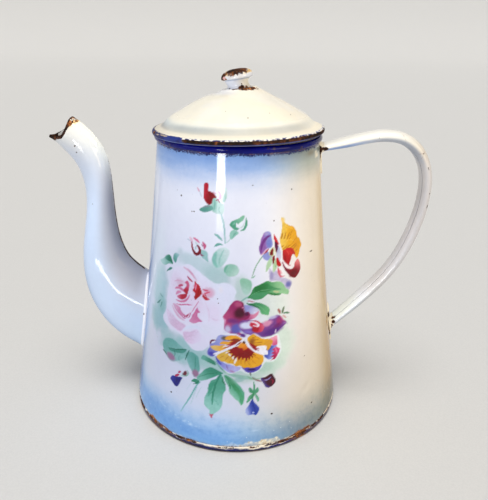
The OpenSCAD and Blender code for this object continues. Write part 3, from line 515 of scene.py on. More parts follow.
    # --- large pansy, face
    b.fill([(-9.6, 70), (-8.6, 66), (-6.8, 62.6), (-4, 59.8), (0, 57.4), (5, 59.6), (9, 57.6), (13, 57.6), (16.6, 60),
            (19.4, 64.6), (22, 64), (25, 63.8), (28, 67), (29.6, 72), (28.4, 78), (27, 82), (23, 81.4), (18, 81.6),
            (13, 85), (8, 82), (2, 84.8), (-4, 84.6), (-8, 81), (-12.6, 79)], (0.91, 0.93, 0.965), 1.4, 0.85)
    b.fill([(-13.8, 71.6), (-12.4, 74.6), (-12, 77), (-9.4, 78.6), (-7, 83.4), (-3, 83.6), (0, 83), (-2, 79), (-6, 75),
            (-8, 71.6), (-9, 69.8), (-11, 68.4), (-13.2, 69.4)], (0.62, 0.66, 0.86), 0.8, 0.95,
           to=((0.46, 0.48, 0.78), (-6, 81), (-11.6, 70.5)))
    b.wash(-11.2, 70.4, 2.6, 2.2, (0.30, 0.28, 0.68), 0.92, 0, 0.3)
    b.wash(-3.8, 81.8, 2.6, 2.0, (0.42, 0.38, 0.30), 0.9, 0, 0.3)
    b.line([(-12.2, 76.8), (-11.4, 79), (-8.8, 79.9)], 1.0, (0.42, 0.08, 0.28), 0.5, 0.95)
    b.fill([(-11.8, 75.6), (-9, 76.6), (-6.6, 76.6), (-4, 77), (-2, 75.6), (-4.4, 73.6), (-7.6, 72.8), (-10.6, 73.8)],
           STRAW, 0.6, 0.97, to=((0.93, 0.72, 0.26), (-10, 75), (-4, 75)))
    b.fill([(-6.4, 77.8), (-4.4, 79.6), (-1, 80), (2, 80.4), (1, 78.6), (-3, 77.4)], (0.94, 0.70, 0.24), 0.5, 0.97)
    b.fill([(-3.8, 81.2), (-2.2, 83.1), (1, 83.9), (4, 83), (5.8, 81.2), (3, 80.4), (-1, 80.6)], (0.95, 0.71, 0.20), 0.5, 0.97)
    b.line([(-3.2, 80.2), (0, 81), (3, 81.2)], 0.5, (0.50, 0.30, 0.12), 0.4, 0.8)
    b.fill([(6, 80.8), (3.4, 81.6), (0.4, 81.4), (-0.8, 80.6), (0.8, 80), (-1.6, 78.8), (0.4, 78.8), (-3, 77.2),
            (-0.4, 77.2), (-4.2, 75), (-1, 75.4), (2.4, 77.4), (5.2, 79.6)], (0.60, 0.24, 0.08), 0.45, 0.97, sharp=True,
           to=((0.66, 0.03, 0.09), (3, 80.6), (0.6, 76.8)))
    b.line([(-4.8, 75.6), (-2.8, 76.4), (-1.2, 77)], 0.9, (0.96, 0.94, 0.96), 0.4, 0.9)
    # right side petal
    b.fill([(22, 79.8), (24, 80.6), (26.6, 81), (27, 78), (27, 75.4), (25, 74.8), (23.4, 76.4)], (0.90, 0.62, 0.70), 0.7, 0.95,
           to=((0.80, 0.36, 0.54), (25, 80), (26, 75.4)))
    b.fill([(18.4, 69.8), (20, 71), (19.8, 72.8), (22, 75.2), (25, 75), (26.8, 74.4), (25.4, 72), (25, 68), (23, 65.6),
            (20.8, 66.2), (19, 68)], (0.28, 0.34, 0.70), 0.6, 0.96, to=((0.56, 0.62, 0.86), (21, 72), (25, 70)))
    b.fill([(26.4, 73.8), (28.6, 72), (28, 69.4), (27, 66.8), (25.4, 64.8), (22.8, 64.6), (24.8, 66.4), (22.8, 67.2),
            (24.9, 68.4), (23.2, 69.8), (25.2, 70.8), (23.8, 72.2)], (0.80, 0.24, 0.44), 0.5, 0.96, sharp=True,
           to=((0.68, 0.12, 0.34), (28, 71), (24, 66)))
    b.line([(25.4, 73.6), (26.4, 71.4), (26.8, 68)], 0.9, (0.90, 0.70, 0.82), 0.6, 0.5)
    b.fill([(8.8, 81.6), (11.4, 84), (13, 84.2), (15.2, 82.6), (18, 80.8), (22, 79.8), (24, 78.6), (23.8, 76.4),
            (22.6, 73.6), (20.8, 72.2), (20, 74), (18, 75.6), (14, 75.6), (11, 73.8), (9.6, 77)], YELLOW, 0.6, 0.98,
           to=((0.84, 0.64, 0.22), (16, 79), (24, 77)))
    b.wash(11.8, 79.4, 2.6, 3.8, (0.62, 0.38, 0.12), 0.9, -25, 0.2)
    for p, q in (((11.2, 81.6), (13.6, 82.6)), ((11.6, 80), (15.4, 80.6)), ((12, 78.4), (17.4, 78.4)),
                 ((12.4, 77.2), (17.4, 76.8))):
        b.line([p, ((p[0] + q[0]) / 2, (p[1] + q[1]) / 2), q], 0.5, (0.66, 0.40, 0.10), 0.4, 0.75)
    b.fill([(14, 75.8), (17.6, 76.2), (20.4, 75.4), (20, 73.2), (21.2, 71.4), (21, 69.4), (18.8, 69.8), (16, 71.4),
            (13.6, 72.8)], (0.95, 0.95, 0.98), 0.6, 0.96)
    b.fill([(9.6, 78.4), (12.2, 77.4), (14.8, 76), (13.4, 75.4), (16.8, 74.4), (14.2, 74.2), (15.8, 73), (12.6, 73.4),
            (10.8, 73.8), (9.9, 75.6)], (0.62, 0.02, 0.08), 0.45, 0.97, sharp=True)
    # lower petal: coloured edge, then yellow, then the dark centre with its rays
    b.fill([(-9.2, 69.4), (-7.8, 67.4), (-4, 65), (0, 63.8), (3, 62.6), (5.2, 62.4), (5, 60.4), (2, 58.6), (-0.6, 58.2),
            (-4, 60.2), (-6.6, 62.8), (-8.6, 65.8)], (0.52, 0.56, 0.84), 0.7, 0.96, to=((0.70, 0.70, 0.90), (-7, 66), (2, 60)))
    b.line([(-8.6, 69), (-7.6, 66), (-5.6, 63.4)], 1.1, (0.26, 0.30, 0.66), 0.6, 0.8)
    b.line([(-2.6, 64), (-2.2, 61.8), (-1.4, 60)], 0.8, (0.55, 0.45, 0.66), 0.6, 0.6)
    b.wash(0.6, 59.2, 2.6, 1.1, (0.70, 0.52, 0.66), 0.7, -25, 0.2)
    b.fill([(6, 62.4), (9, 62), (12, 61.6), (14.6, 62.2), (17.4, 64.4), (16.4, 60.6), (14, 58.6), (11, 57.8), (8.4, 59)],
           (0.36, 0.30, 0.70), 0.6, 0.97)
    b.wash(11.6, 60.2, 3.2, 1.1, (0.20, 0.06, 0.40), 0.95, 0, 0.4)
    b.line([(10.6, 58.4), (11, 57), (11, 56)], 0.8, (0.40, 0.42, 0.40), 0.5, 0.8)
    b.fill([(-8.2, 68.6), (-6.4, 71.2), (-3, 73), (0, 74.6), (2.4, 76), (6, 77.4), (10, 75.4), (12.4, 73.2), (15, 71.4),
            (17.6, 69.6), (18.4, 67), (17.8, 64.6), (16.4, 63), (14, 61.8), (11.4, 61.3), (9, 61.8), (7.4, 61.4), (5, 63.2),
            (3, 62.6), (1.4, 64.2), (-1, 64.6), (-3.6, 65.6), (-6.2, 66)], (0.88, 0.74, 0.30), 0.6, 0.98,
           to=((0.90, 0.69, 0.14), (-4, 68), (5, 67)))
    for p, q, w in (((-1.6, 71.6), (-0.4, 69.8), 1.0), ((0.6, 71), (1.2, 67.6), 1.3), ((3.2, 70), (2.2, 64.6), 1.5),
                    ((-3.4, 71.6), (-1.6, 72.6), 0.7)):
        b.line([p, ((p[0] + q[0]) / 2, (p[1] + q[1]) / 2), q], w, (0.95, 0.94, 0.96), 0.5, 0.92)
    for x0, z0, x1, z1 in ((-1.4, 69.6, -3.6, 66.6), (5.6, 67.4, 5.4, 63.6), (7.6, 67, 8.4, 62.6), (9.4, 66.4, 11.2, 62.4),
                           (11.4, 67.6, 14, 64), (12.8, 69.4, 16.4, 66.8), (-4, 70, -6.4, 68.2), (0.6, 68, -1, 65.4)):
        b.line([(x0, z0), ((x0 + x1) / 2, (z0 + z1) / 2), (x1, z1)], 0.5, (0.72, 0.46, 0.10), 0.4, 0.6, (0.6, 0.1))
    b.fill([(2.2, 76.2), (4.6, 76.2), (6.4, 75), (8.6, 75.8), (10.4, 75.2), (12, 73.4), (14, 72), (12, 71.6), (14.4, 69.4),
            (11.6, 70.6), (12.6, 67.4), (10.4, 69.8), (10.6, 66.2), (9, 69.2), (8.8, 65.2), (7.4, 69), (6.4, 66.6),
            (5.8, 69.4), (4.2, 66.2), (4.2, 69.8), (1.4, 66.8), (2.4, 70.4), (-0.6, 69), (0.8, 71.4), (-2.2, 71.8),
            (-0.4, 73), (-1.6, 74), (0.6, 75)], (0.63, 0.03, 0.07), 0.45, 0.98, sharp=True,
           to=((0.56, 0.0, 0.03), (5, 76), (6, 70)), grain=0.2)
    b.fill([(3.8, 75.8), (4.8, 78), (6.6, 79), (8.2, 77.4), (8.9, 75.2), (7, 73.6), (6.2, 75.2)], (0.95, 0.66, 0.20), 0.5, 0.97,
           to=((0.88, 0.52, 0.12), (5, 77.4), (7, 74)))
    b.fill([(6, 79), (6.8, 80.4), (7.6, 79), (7.2, 77.8)], (0.36, 0.18, 0.08), 0.4, 0.9)
    b.line([(7, 81.6), (3.4, 78.2), (-1, 75.2), (-5.6, 72.6), (-9.6, 70.4)], 1.5, (0.95, 0.95, 0.98), 0.5, 0.97, (0.3, 0.6))
    b.line([(2.8, 77), (4, 78), (5.4, 79.4)], 0.6, (0.45, 0.02, 0.10), 0.35, 0.9)
    b.line([(8, 81.4), (9.2, 78), (11.2, 74.4), (14.4, 72), (18.8, 69.6)], 1.3, (0.95, 0.95, 0.98), 0.5, 0.97, (0.3, 0.4))
    b.line([(-8.8, 83), (-4, 84.6), (1.5, 84.7), (5.4, 83.4)], 0.8, (0.93, 0.94, 0.98), 0.6, 0.7)

    # --- side pansy
    b.line([(19.6, 136), (16, 131), (13.6, 126.4), (12, 122.4)], 0.8, (0.56, 0.73, 0.61), 0.5, 0.9, (0.8, 0.6))
    b.line([(11.4, 121.7), (12.6, 121.7), (14, 123)], 0.9, (0.55, 0.76, 0.62), 0.5, 0.85)
    b.fill([(23, 126.4), (25, 123.8), (27.6, 124.6), (29, 121.4), (31, 119.8), (34, 118.2), (36.6, 116.8), (38.1, 114.6),
            (37.4, 112.2), (36, 110.3), (33.4, 112.4), (31.4, 116), (29, 117.6), (26, 118.2), (23.4, 118.4), (22.5, 121)],
           (0.76, 0.74, 0.86), 0.8, 0.95, grain=0.14)
    b.wash(24.2, 121.8, 1.6, 3.8, (0.62, 0.60, 0.76), 0.8, 0, 0.2)
    b.wash(35.6, 113.8, 2.8, 3.2, (0.44, 0.46, 0.70), 0.9, 30, 0.25)
    b.line([(28.4, 126.4), (29.2, 123), (30.6, 120)], 1.4, (0.84, 0.36, 0.44), 0.7, 0.85)
    b.line([(29, 122), (31, 120.4), (33, 120)], 0.9, (0.82, 0.40, 0.50), 0.6, 0.8)
    b.line([(29.6, 124.6), (30.6, 122.8), (31.8, 122)], 0.9, (0.90, 0.56, 0.60), 0.6, 0.7)
    b.line([(28, 127), (30, 125.6), (32, 122), (34.4, 119.6)], 0.7, (0.94, 0.92, 0.94), 0.5, 0.8)
    b.fill([(16.4, 139.6), (17.4, 143), (18.2, 146.6), (20, 149.2), (22.5, 149.7), (24.2, 148.2), (24.8, 145), (25.3, 141.4),
            (24, 139.4), (21, 139), (19, 137), (17.4, 135.8), (16.6, 137.6)], (0.60, 0.42, 0.70), 1.0, 0.96,
           to=((0.56, 0.60, 0.84), (19.4, 142), (22.6, 142.6)), grain=0.16)
    b.wash(21, 148.4, 3.0, 1.6, (0.72, 0.66, 0.84), 0.8, 0, 0.2)
    b.line([(17.4, 137), (18.2, 141), (20, 144.4), (22, 146.4), (24, 147)], 1.8, (0.47, 0.22, 0.54), 1.0, 0.85)
    b.wash(22.8, 142.4, 2.2, 3.2, (0.49, 0.54, 0.80), 0.9, 0, 0.4)
    b.fill([(18.6, 134.8), (19.6, 132.6), (22, 131.6), (24.3, 133), (23.2, 135.4), (21.6, 137.4), (20, 136.6)],
           (0.58, 0.62, 0.84), 0.8, 0.95)
    b.line([(22.6, 132), (24, 132.6), (24.4, 133.6)], 0.6, (0.34, 0.36, 0.58), 0.5, 0.7)
    b.line([(17.6, 135.4), (19.4, 136.8), (21.4, 138.8)], 0.7, (0.86, 0.60, 0.72), 0.5, 0.8)
    b.line([(19.6, 135.8), (21, 137.4), (22.6, 139)], 0.9, (0.66, 0.10, 0.18), 0.5, 0.9)
    b.line([(23.8, 133.4), (22.8, 129.4), (20.9, 124.8)], 2.6, (0.70, 0.84, 0.68), 0.8, 0.92)
    b.line([(25.8, 132.4), (26.4, 128.4), (25.8, 124.2)], 3.0, (0.70, 0.83, 0.66), 0.8, 0.92)
    b.line([(26.2, 130), (26.6, 126.6)], 0.5, (0.44, 0.62, 0.46), 0.5, 0.6)
    b.fill([(22.2, 135.6), (24.2, 138.8), (25.9, 138.9), (25.8, 134.4), (24.2, 133.8)], (0.80, 0.84, 0.66), 0.6, 0.9)
    b.fill([(22.8, 135.6), (24.4, 138.2), (25.4, 138.3), (25.2, 134.9), (24.2, 134.5)], (0.50, 0.05, 0.09), 0.5, 0.97)
    b.line([(26, 134), (25.3, 132), (25.1, 129.4)], 1.5, (0.50, 0.05, 0.07), 0.5, 0.95)
    b.line([(25.4, 139), (26.6, 137), (26.8, 134)], 0.7, (0.86, 0.88, 0.72), 0.5, 0.8)
    b.fill([(28, 140.6), (29.6, 138.4), (30.8, 134), (30.2, 130.4), (28.4, 131.6), (27.4, 134), (27.4, 137.4)],
           (0.70, 0.73, 0.86), 0.7, 0.96, to=((0.80, 0.80, 0.90), (28, 138), (30.4, 133)))
    b.fill([(26.2, 147.6), (27.6, 145.6), (28.9, 142.6), (29.6, 140.8), (28.4, 141.2), (27.2, 142), (26.3, 144.6)],
           (0.80, 0.12, 0.17), 0.5, 0.97)
    b.fill([(26.8, 142.4), (28.4, 141.8), (28.8, 139.6), (27.7, 136.2), (26.8, 137.2), (26.6, 140)], (0.38, 0.03, 0.26), 0.5, 0.95)
    b.fill([(27.2, 132), (28.4, 132.4), (29.8, 130), (30.5, 127.2), (28, 127.4)], (0.74, 0.07, 0.08), 0.6, 0.96)
    b.fill([(31.4, 157), (33.2, 156.2), (34, 154), (36, 152.4), (38, 151.2), (40.5, 150.2), (42, 148), (43.2, 145),
            (43.6, 143), (45.4, 142), (46, 139.6), (46.9, 137), (45.4, 134.6), (44.4, 131.6), (43, 129.4), (41.2, 131),
            (40.4, 133.4), (39, 136), (36, 137), (33, 136.2), (31.6, 136.6), (30.8, 139), (30.2, 143), (31, 147),
            (31.8, 152)], (0.90, 0.78, 0.35), 0.6, 0.98, to=((0.90, 0.695, 0.11), (31.5, 143), (38.5, 142)), grain=0.14)
    b.wash(32.8, 155.4, 2.0, 2.4, (0.94, 0.86, 0.62), 0.75, 0, 0.3)
    b.wash(42.6, 138.4, 4.0, 6.0, (0.86, 0.62, 0.07), 0.6, 0, 0.2)
    b.wash(38, 147, 5.0, 3.4, (0.88, 0.68, 0.11), 0.6, 20, 0.2)
    for x0, z0, x1, z1, w in ((31.2, 144.2, 32.3, 147.6, 0.9), (32.8, 143.6, 34.8, 147.4, 0.8), (34.8, 143, 37.4, 147, 0.9),
                              (36.2, 141.8, 38.4, 144.4, 0.6), (31.2, 138.8, 32.4, 139.4, 0.9), (31.6, 136.9, 35.4, 139, 0.7),
                              (34.4, 137.4, 39.4, 139.2, 0.7), (37.6, 136.8, 42.2, 138.6, 0.6), (39.6, 135.6, 43, 138, 0.5),
                              (39, 139.6, 42.6, 142.6, 0.4), (37.4, 144.8, 40, 148, 0.4), (41.4, 134, 43.6, 134.6, 0.5)):
        b.line([(x0, z0), ((x0 + x1) / 2, (z0 + z1) / 2 + 0.2), (x1, z1)], w, (0.70, 0.47, 0.06), 0.45, 0.8, (0.7, 0.15))
    b.line([(33, 152.6), (37, 150.4), (40, 148.8)], 0.5, (0.99, 0.86, 0.46), 0.6, 0.6)
    b.line([(33.4, 141.6), (37, 142.4), (41, 141)], 0.7, (0.99, 0.84, 0.42), 0.7, 0.6)
    b.fill([(32, 136.4), (35, 137.2), (38.4, 136.6), (40.6, 134.2), (41.4, 131.8), (39.2, 132.2), (38, 130), (37, 127.8),
            (36, 126.6), (34, 128.4), (32.2, 130), (31.7, 133)], (0.80, 0.18, 0.16), 0.6, 0.98,
           to=((0.70, 0.06, 0.10), (37, 135), (33, 130.5)), grain=0.16)
    b.line([(37.2, 137), (38.6, 134.6), (40.8, 132.4)], 1.0, (0.74, 0.20, 0.08), 0.5, 0.8)
    b.line([(34.6, 135.6), (35.8, 134), (36.4, 132.4)], 0.7, (0.90, 0.42, 0.36), 0.6, 0.6)
    b.line([(33, 133.4), (33.6, 131), (35, 128.4)], 0.6, (0.50, 0.01, 0.06), 0.5, 0.6)
    b.fill([(31.4, 129.4), (33, 126.4), (35.6, 124.6), (38, 123.4), (40.2, 124.2), (41.4, 127.2), (43.4, 128.6), (45.2, 126.8),
            (46, 124), (45.2, 121), (43, 118.4), (40.6, 117.2), (38, 118.4), (35.4, 121), (33, 124.6)], (0.50, 0.0, 0.08), 0.7, 0.98,
           to=((0.90, 0.56, 0.56), (40, 120), (43.8, 128)), grain=0.14)
    b.wash(39.6, 120.6, 4.6, 2.6, (0.42, 0.0, 0.06), 0.75, 30, 0.2)
    b.line([(31.6, 129), (34, 124.8), (37.6, 120)], 0.9, (0.52, 0.14, 0.30), 0.6, 0.85)
    b.line([(32, 130), (34, 127), (37, 124.9), (39.4, 125.6), (39.6, 128), (38.2, 130.4)], 1.8, (0.91, 0.88, 0.90), 0.8, 0.9)
    b.line([(35, 128), (36.6, 126.4), (37.8, 125.8)], 0.7, (0.74, 0.36, 0.44), 0.5, 0.8)
    b.line([(33.4, 126.4), (36, 124.4), (38.6, 124)], 0.8, (0.95, 0.93, 0.96), 0.5, 0.8)

    # --- rosebud at the top, leaf bud, second rosebud
    b.line([(-7, 161), (-5.6, 155.5), (-4.6, 149), (-4.2, 143)], 1.0, (0.62, 0.80, 0.79), 0.6, 0.9, (0.8, 0.7))
    b.line([(-4, 143.4), (-2.4, 144.6), (-1, 146.6)], 0.6, (0.70, 0.85, 0.83), 0.5, 0.7)
    b.fill([(-13.2, 169.4), (-11.4, 170.2), (-9, 169), (-6.8, 166.6), (-5.6, 166.6), (-5.4, 163), (-6.4, 160.6), (-9, 160.6),
            (-12, 161.6), (-13.8, 163.6)], (0.64, 0.82, 0.78), 0.9, 0.95, to=((0.76, 0.88, 0.87), (-12, 165), (-7, 163)))
    b.line([(-11.8, 162.4), (-11.2, 165.6), (-12, 168.8)], 1.0, (0.50, 0.74, 0.69), 0.8, 0.8)
    b.line([(-7.6, 161), (-8.6, 163), (-8.2, 165)], 0.6, (0.52, 0.74, 0.70), 0.6, 0.7)
    b.fill([(-21.6, 161.8), (-19, 163.8), (-16, 165.2), (-12.8, 164.8), (-12.2, 163.4), (-14.4, 161.9), (-18, 160.9)],
           (0.36, 0.62, 0.57), 0.6, 0.97, to=((0.46, 0.70, 0.65), (-18, 162), (-13, 163.4)))
    b.line([(-19, 163.4), (-16.6, 164.4), (-14.6, 164.6)], 0.8, (0.60, 0.58, 0.66), 0.6, 0.8)
    b.fill([(-6.2, 168.6), (-6, 173), (-4.9, 176.2), (-3.6, 175), (-3.6, 171), (-4.6, 168.4), (-5.4, 167.6)],
           (0.64, 0.82, 0.78), 0.9, 0.9, to=((0.80, 0.90, 0.90), (-5.4, 171), (-3.6, 173)))
    b.fill([(-9.8, 174), (-8.4, 174.2), (-7.2, 172.4), (-7.4, 169.6), (-8.4, 169), (-9.2, 170), (-8.8, 172.4)],
           (0.84, 0.60, 0.76), 0.8, 0.92)
    b.line([(-12.8, 173.6), (-11.4, 172.6), (-10.2, 173.4)], 0.7, (0.88, 0.62, 0.72), 0.6, 0.8)
    b.line([(-11, 168.2), (-9.4, 168.9), (-7.9, 167)], 0.9, (0.62, 0.24, 0.36), 0.5, 0.92)
    b.fill([(-19, 175.6), (-18.5, 178.2), (-17, 178.8), (-15.9, 177.4), (-15.9, 173.8), (-14.4, 173.3), (-12.4, 172.6),
            (-10.4, 170.2), (-12.6, 169.4), (-13.4, 166.6), (-15, 165.6), (-17, 166.4), (-18.7, 168.6), (-19, 172)],
           (0.72, 0.08, 0.20), 0.6, 0.99, to=((0.56, 0.02, 0.10), (-18.6, 172), (-14, 170)), grain=0.14)
    b.line([(-18.2, 177.6), (-18.3, 173), (-17.8, 168.6)], 0.6, (0.80, 0.22, 0.34), 0.6, 0.7)
    b.line([(-15.8, 173), (-14.2, 170), (-15, 167)], 0.8, (0.47, 0.01, 0.08), 0.7, 0.7)
    b.line([(-13.6, 167), (-12.8, 169), (-11.8, 170)], 0.5, (0.60, 0.80, 0.76), 0.5, 0.7)
    b.line([(-23.6, 175), (-22.8, 173.4), (-22, 172.2)], 1.0, (0.86, 0.60, 0.70), 0.6, 0.85)
    b.line([(-22.2, 172.6), (-21.2, 170.8), (-20.2, 169.6)], 0.5, (0.66, 0.74, 0.80), 0.5, 0.75)
    b.line([(-11, 148.5), (-8.6, 147.2), (-6, 144.6)], 1.5, (0.48, 0.73, 0.69), 0.5, 0.93, (0.2, 0.2))
    b.fill([(-11.2, 140.6), (-9.4, 142.6), (-7.4, 143.2), (-5.2, 141.8), (-7.4, 141.8), (-9.4, 140.9)], (0.42, 0.69, 0.64), 0.5, 0.95)
    b.fill([(-1.6, 154.4), (-0.6, 156.6), (1.6, 157.6), (4.4, 158.6), (6.8, 160.3), (7.2, 159), (6, 156.6), (3.8, 154.8),
            (2.6, 156.2), (2.4, 153.4), (4, 152.6), (2.6, 151.4), (0.4, 152.4)], (0.33, 0.66, 0.53), 0.6, 0.95,
           to=((0.54, 0.78, 0.66), (0.4, 154), (5.4, 158)))
    b.line([(0.2, 154.6), (1.2, 156), (1.8, 154.8)], 0.9, (0.64, 0.82, 0.76), 0.6, 0.6)
    b.line([(8.2, 159), (8.2, 155.6), (7, 152.2), (4.8, 151)], 1.5, (0.36, 0.67, 0.54), 0.6, 0.95, (0.1, 0.2))
    b.line([(2.9, 153.8), (4.4, 155.2), (6, 156.6)], 1.1, (0.93, 0.96, 0.97), 0.6, 0.9)
    b.line([(4.4, 152.6), (6, 153.6), (6.8, 155.6)], 0.6, (0.70, 0.86, 0.80), 0.5, 0.7)
    b.fill([(-1.7, 148.4), (-0.6, 151.2), (1.4, 151.6), (3.8, 149.8), (2, 148), (-0.4, 146), (-1.4, 146.6)], (0.58, 0.80, 0.73), 0.7, 0.92)
    b.line([(0, 147), (1.2, 149), (2.4, 150.2)], 0.6, (0.40, 0.68, 0.60), 0.5, 0.7)
    b.line([(-28, 144), (-26.8, 143), (-26, 141.4)], 1.7, (0.92, 0.76, 0.84), 0.8, 0.85)
    b.line([(-25.2, 144.2), (-23, 143.4), (-21, 141.8)], 1.5, (0.87, 0.50, 0.63), 0.6, 0.9)
    b.line([(-24, 142.4), (-22.8, 141), (-21.4, 140.6)], 0.8, (0.72, 0.84, 0.84), 0.6, 0.7)
    b.line([(-18.6, 142.4), (-17.3, 140.6), (-17.7, 138.4)], 1.6, (0.80, 0.38, 0.54), 0.6, 0.92)
    b.line([(-19, 141), (-18.2, 139.6)], 0.7, (0.56, 0.30, 0.44), 0.5, 0.7)
    b.line([(-30, 142.6), (-28.4, 142.4), (-27, 141.8)], 0.7, (0.70, 0.76, 0.84), 0.5, 0.75)
    b.fill([(-19.6, 137.6), (-17, 137.2), (-15.4, 135.6), (-15, 132.4), (-14.5, 130.4), (-17, 131.6), (-19, 132.8), (-20.2, 135)],
           (0.60, 0.79, 0.77), 0.8, 0.93)
    b.line([(-23.2, 139.4), (-23.4, 137.2)], 1.1, (0.66, 0.82, 0.80), 0.6, 0.8)
    b.line([(-26.6, 141.4), (-25.4, 137.2), (-23.9, 134.8), (-21.9, 134.6), (-20.6, 136.6), (-21, 138.6), (-22.4, 140)], 1.9,
           (0.50, 0.02, 0.12), 0.5, 0.97, (0.3, 0.4))
    b.line([(-26.8, 141.2), (-26, 138.8), (-25, 136.6)], 0.7, (0.72, 0.14, 0.26), 0.5, 0.75)
    b.line([(-20.2, 135.4), (-19.4, 134.2), (-18, 134)], 1.1, (0.56, 0.14, 0.36), 0.5, 0.9)

    # strong colours sit deeper than the pale ground
    far = np.abs(b.c - ground).max(1)
    strong = sstep(0.05, 0.34, far)
    b.c = mix(b.c, np.clip(b.c, 0, 1) ** 1.18 * np.array([0.985, 0.965, 0.985]), strong)
    b.c = b.c * (1 - 0.045 * sstep(0.02, 0.08, far) * (1 - strong))[:, None]

# ---------------------------------------------------------------- sizes, in mm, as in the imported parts
RIM_R, RIM_Z = 53.3, 197.8
ROLL_R, ROLL_Z, ROLL = 54.55, 201.652, 1.9
SPOUT_KEYS = [
    [60, 91, 70, 30, 15], [67, 97, 77, 35, 15], [73, 101.5, 88, 42, 14.8], [78, 106.5, 99, 53, 14.2],
    [81.5, 112, 107.2, 66.5, 13.5], [84, 119, 112, 81, 12.8], [86, 128, 113.6, 97, 12], [87, 138.5, 112.6, 113, 11],
    [87.4, 149, 110, 128, 10.3], [87.6, 159, 107.2, 142.5, 9.8], [88, 169, 106.2, 155.5, 9.5],
    [89.2, 178.5, 107.3, 166.5, 9.4], [92, 187, 110.3, 175.5, 9.5], [97, 195, 114.3, 181.5, 9.6],
    [103.5, 202, 118.2, 185.8, 9.2], [110, 207, 121.8, 189.3, 7.6], [116, 211, 125.3, 192.0, 4.4],
    [121, 214, 128.4, 193.6, 0.9]]
MOUTH = [[-130, 194.0], [-122.4, 194.3], [-118.4, 195.0], [-116.2, 197.6], [-114.4, 200.6], [-113.0, 203.6], [-112.1, 206.4], [-111.0, 208.2], [-108, 225]]
MOUTH_FAR = [[-130, 194.2], [-125, 195.0], [-122.2, 196.5], [-119.6, 198.1], [-117.4, 199.7], [-115.4, 201.4], [-113.6, 203.8], [-112.2, 206.5], [-111.0, 208.2], [-108, 225]]
HANDLE_KEYS = [
    [47, 189.5, 2.8], [58, 191.2, 2.9], [71, 194.1, 3.6], [84, 197.2, 3.9], [96, 198.9, 4.0], [108, 197.3, 4.0],
    [117.6, 190.8, 4.0], [123.9, 180.6, 4.0], [126.6, 168.2, 4.0], [126.5, 154.9, 4.0], [124.4, 141.5, 4.0],
    [120.7, 128, 4.0], [115.7, 115, 4.0], [108.8, 102.6, 4.0], [100.3, 91, 4.0], [90.5, 79.7, 3.9], [80, 68.5, 3.4],
    [70, 58.5, 2.8], [62, 51, 2.6]]
LID_KEYS = [[11.6, 227.4], [12.4, 226.5], [15, 225.3], [22, 222.4], [30, 218.6], [37, 214.7], [43, 211.3],
            [46.5, 208.6], [49.3, 206], [51.5, 204.5], [54, 203.4]]


def wall_r(z):
    return 77.5 - 0.146 * z + 0.00012 * z * z


# ---------------------------------------------------------------- mesh helpers
def build(name, verts, faces, body, mats, paint=None, wear=None, rusty=None, mat_index=None, gone=(), closed=True,
          outward=None):
    """One object from vertices in mm. paint is display colour, with painted light and shade in places, wear and rusty
    are numbers from 0 to 1, one for each vertex.
    """
    verts = np.asarray(verts, float)
    faces = [np.asarray(f) for f in faces] if not isinstance(faces, np.ndarray) else faces
    if closed and isinstance(faces, np.ndarray):
        a, b, c = verts[faces[:, 0]], verts[faces[:, 1]], verts[faces[:, 2]]
        vol = np.einsum("ij,ij->i", a, np.cross(b, c)).sum()
        if faces.shape[1] == 4:
            d = verts[faces[:, 3]]
            vol += np.einsum("ij,ij->i", a, np.cross(c, d)).sum()
        if vol < 0:
            faces = faces[:, ::-1]
    elif outward is not None:
        f = faces[len(faces) // 2]
        n = np.cross(verts[f[1]] - verts[f[0]], verts[f[2]] - verts[f[1]])
        if np.dot(n, outward(verts[f].mean(0))) < 0:
            faces = faces[:, ::-1]
    # only the vertices that a face uses
    used, back = np.unique(faces, return_inverse=True)
    if len(used) < len(verts):
        keep = lambda q: np.asarray(q)[used] if q is not None and np.ndim(q) and len(q) == len(verts) else q
        paint, wear, rusty = keep(paint), keep(wear), keep(rusty)
        verts, faces = verts[used], back.reshape(faces.shape)
    me = bpy.data.meshes.new(name)
    n, k = faces.shape
    if k == 4:  # a quad with a repeated corner is a triangle
        tri = (faces[:, 2] == faces[:, 3]) | (faces[:, 0] == faces[:, 1]) | (faces[:, 1] == faces[:, 2]) | (faces[:, 3] == faces[:, 0])
    else:
        tri = np.zeros(n, bool)
    if tri.any():
        out = []
        for f, t in zip(faces.tolist(), tri.tolist()):
            if t:
                g = [v for i, v in enumerate(f) if v != f[i - 1]]
                if len(g) < 3:
                    continue
                out.append(g)
            else:
                out.append(f)
        me.from_pydata((verts * 0.001).tolist(), [], out)
    else:
        me.vertices.add(len(verts))
        me.vertices.foreach_set("co", (verts * 0.001).astype(np.float32).ravel())
        me.loops.add(n * k)
        me.loops.foreach_set("vertex_index", faces.astype(np.int32).ravel())
        me.polygons.add(n)
        me.polygons.foreach_set("loop_start", np.arange(0, n * k, k, dtype=np.int32))
        me.update(calc_edges=True)
    me.polygons.foreach_set("use_smooth", np.ones(len(me.polygons), bool))
    if paint is not None:
        at = me.color_attributes.new("paint", "FLOAT_COLOR", "POINT")
        rgba = np.ones((len(verts), 4), np.float32)
        rgba[:, :3] = to_linear(paint)
        at.data.foreach_set("color", rgba.ravel())
    for label, values in (("wear", wear), ("rusty", rusty)):
        if values is not None:
            at = me.attributes.new(label, "FLOAT", "POINT")
            at.data.foreach_set("value", np.broadcast_to(values, (len(verts),)).astype(np.float32))
    me.validate()
    ob = bpy.data.objects.new(name, me)
    scene.collection.objects.link(ob)
    for m in mats if isinstance(mats, (list, tuple)) else [mats]:
        me.materials.append(m)
    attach(ob, body)
    if gone:
        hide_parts(*gone)
    return ob


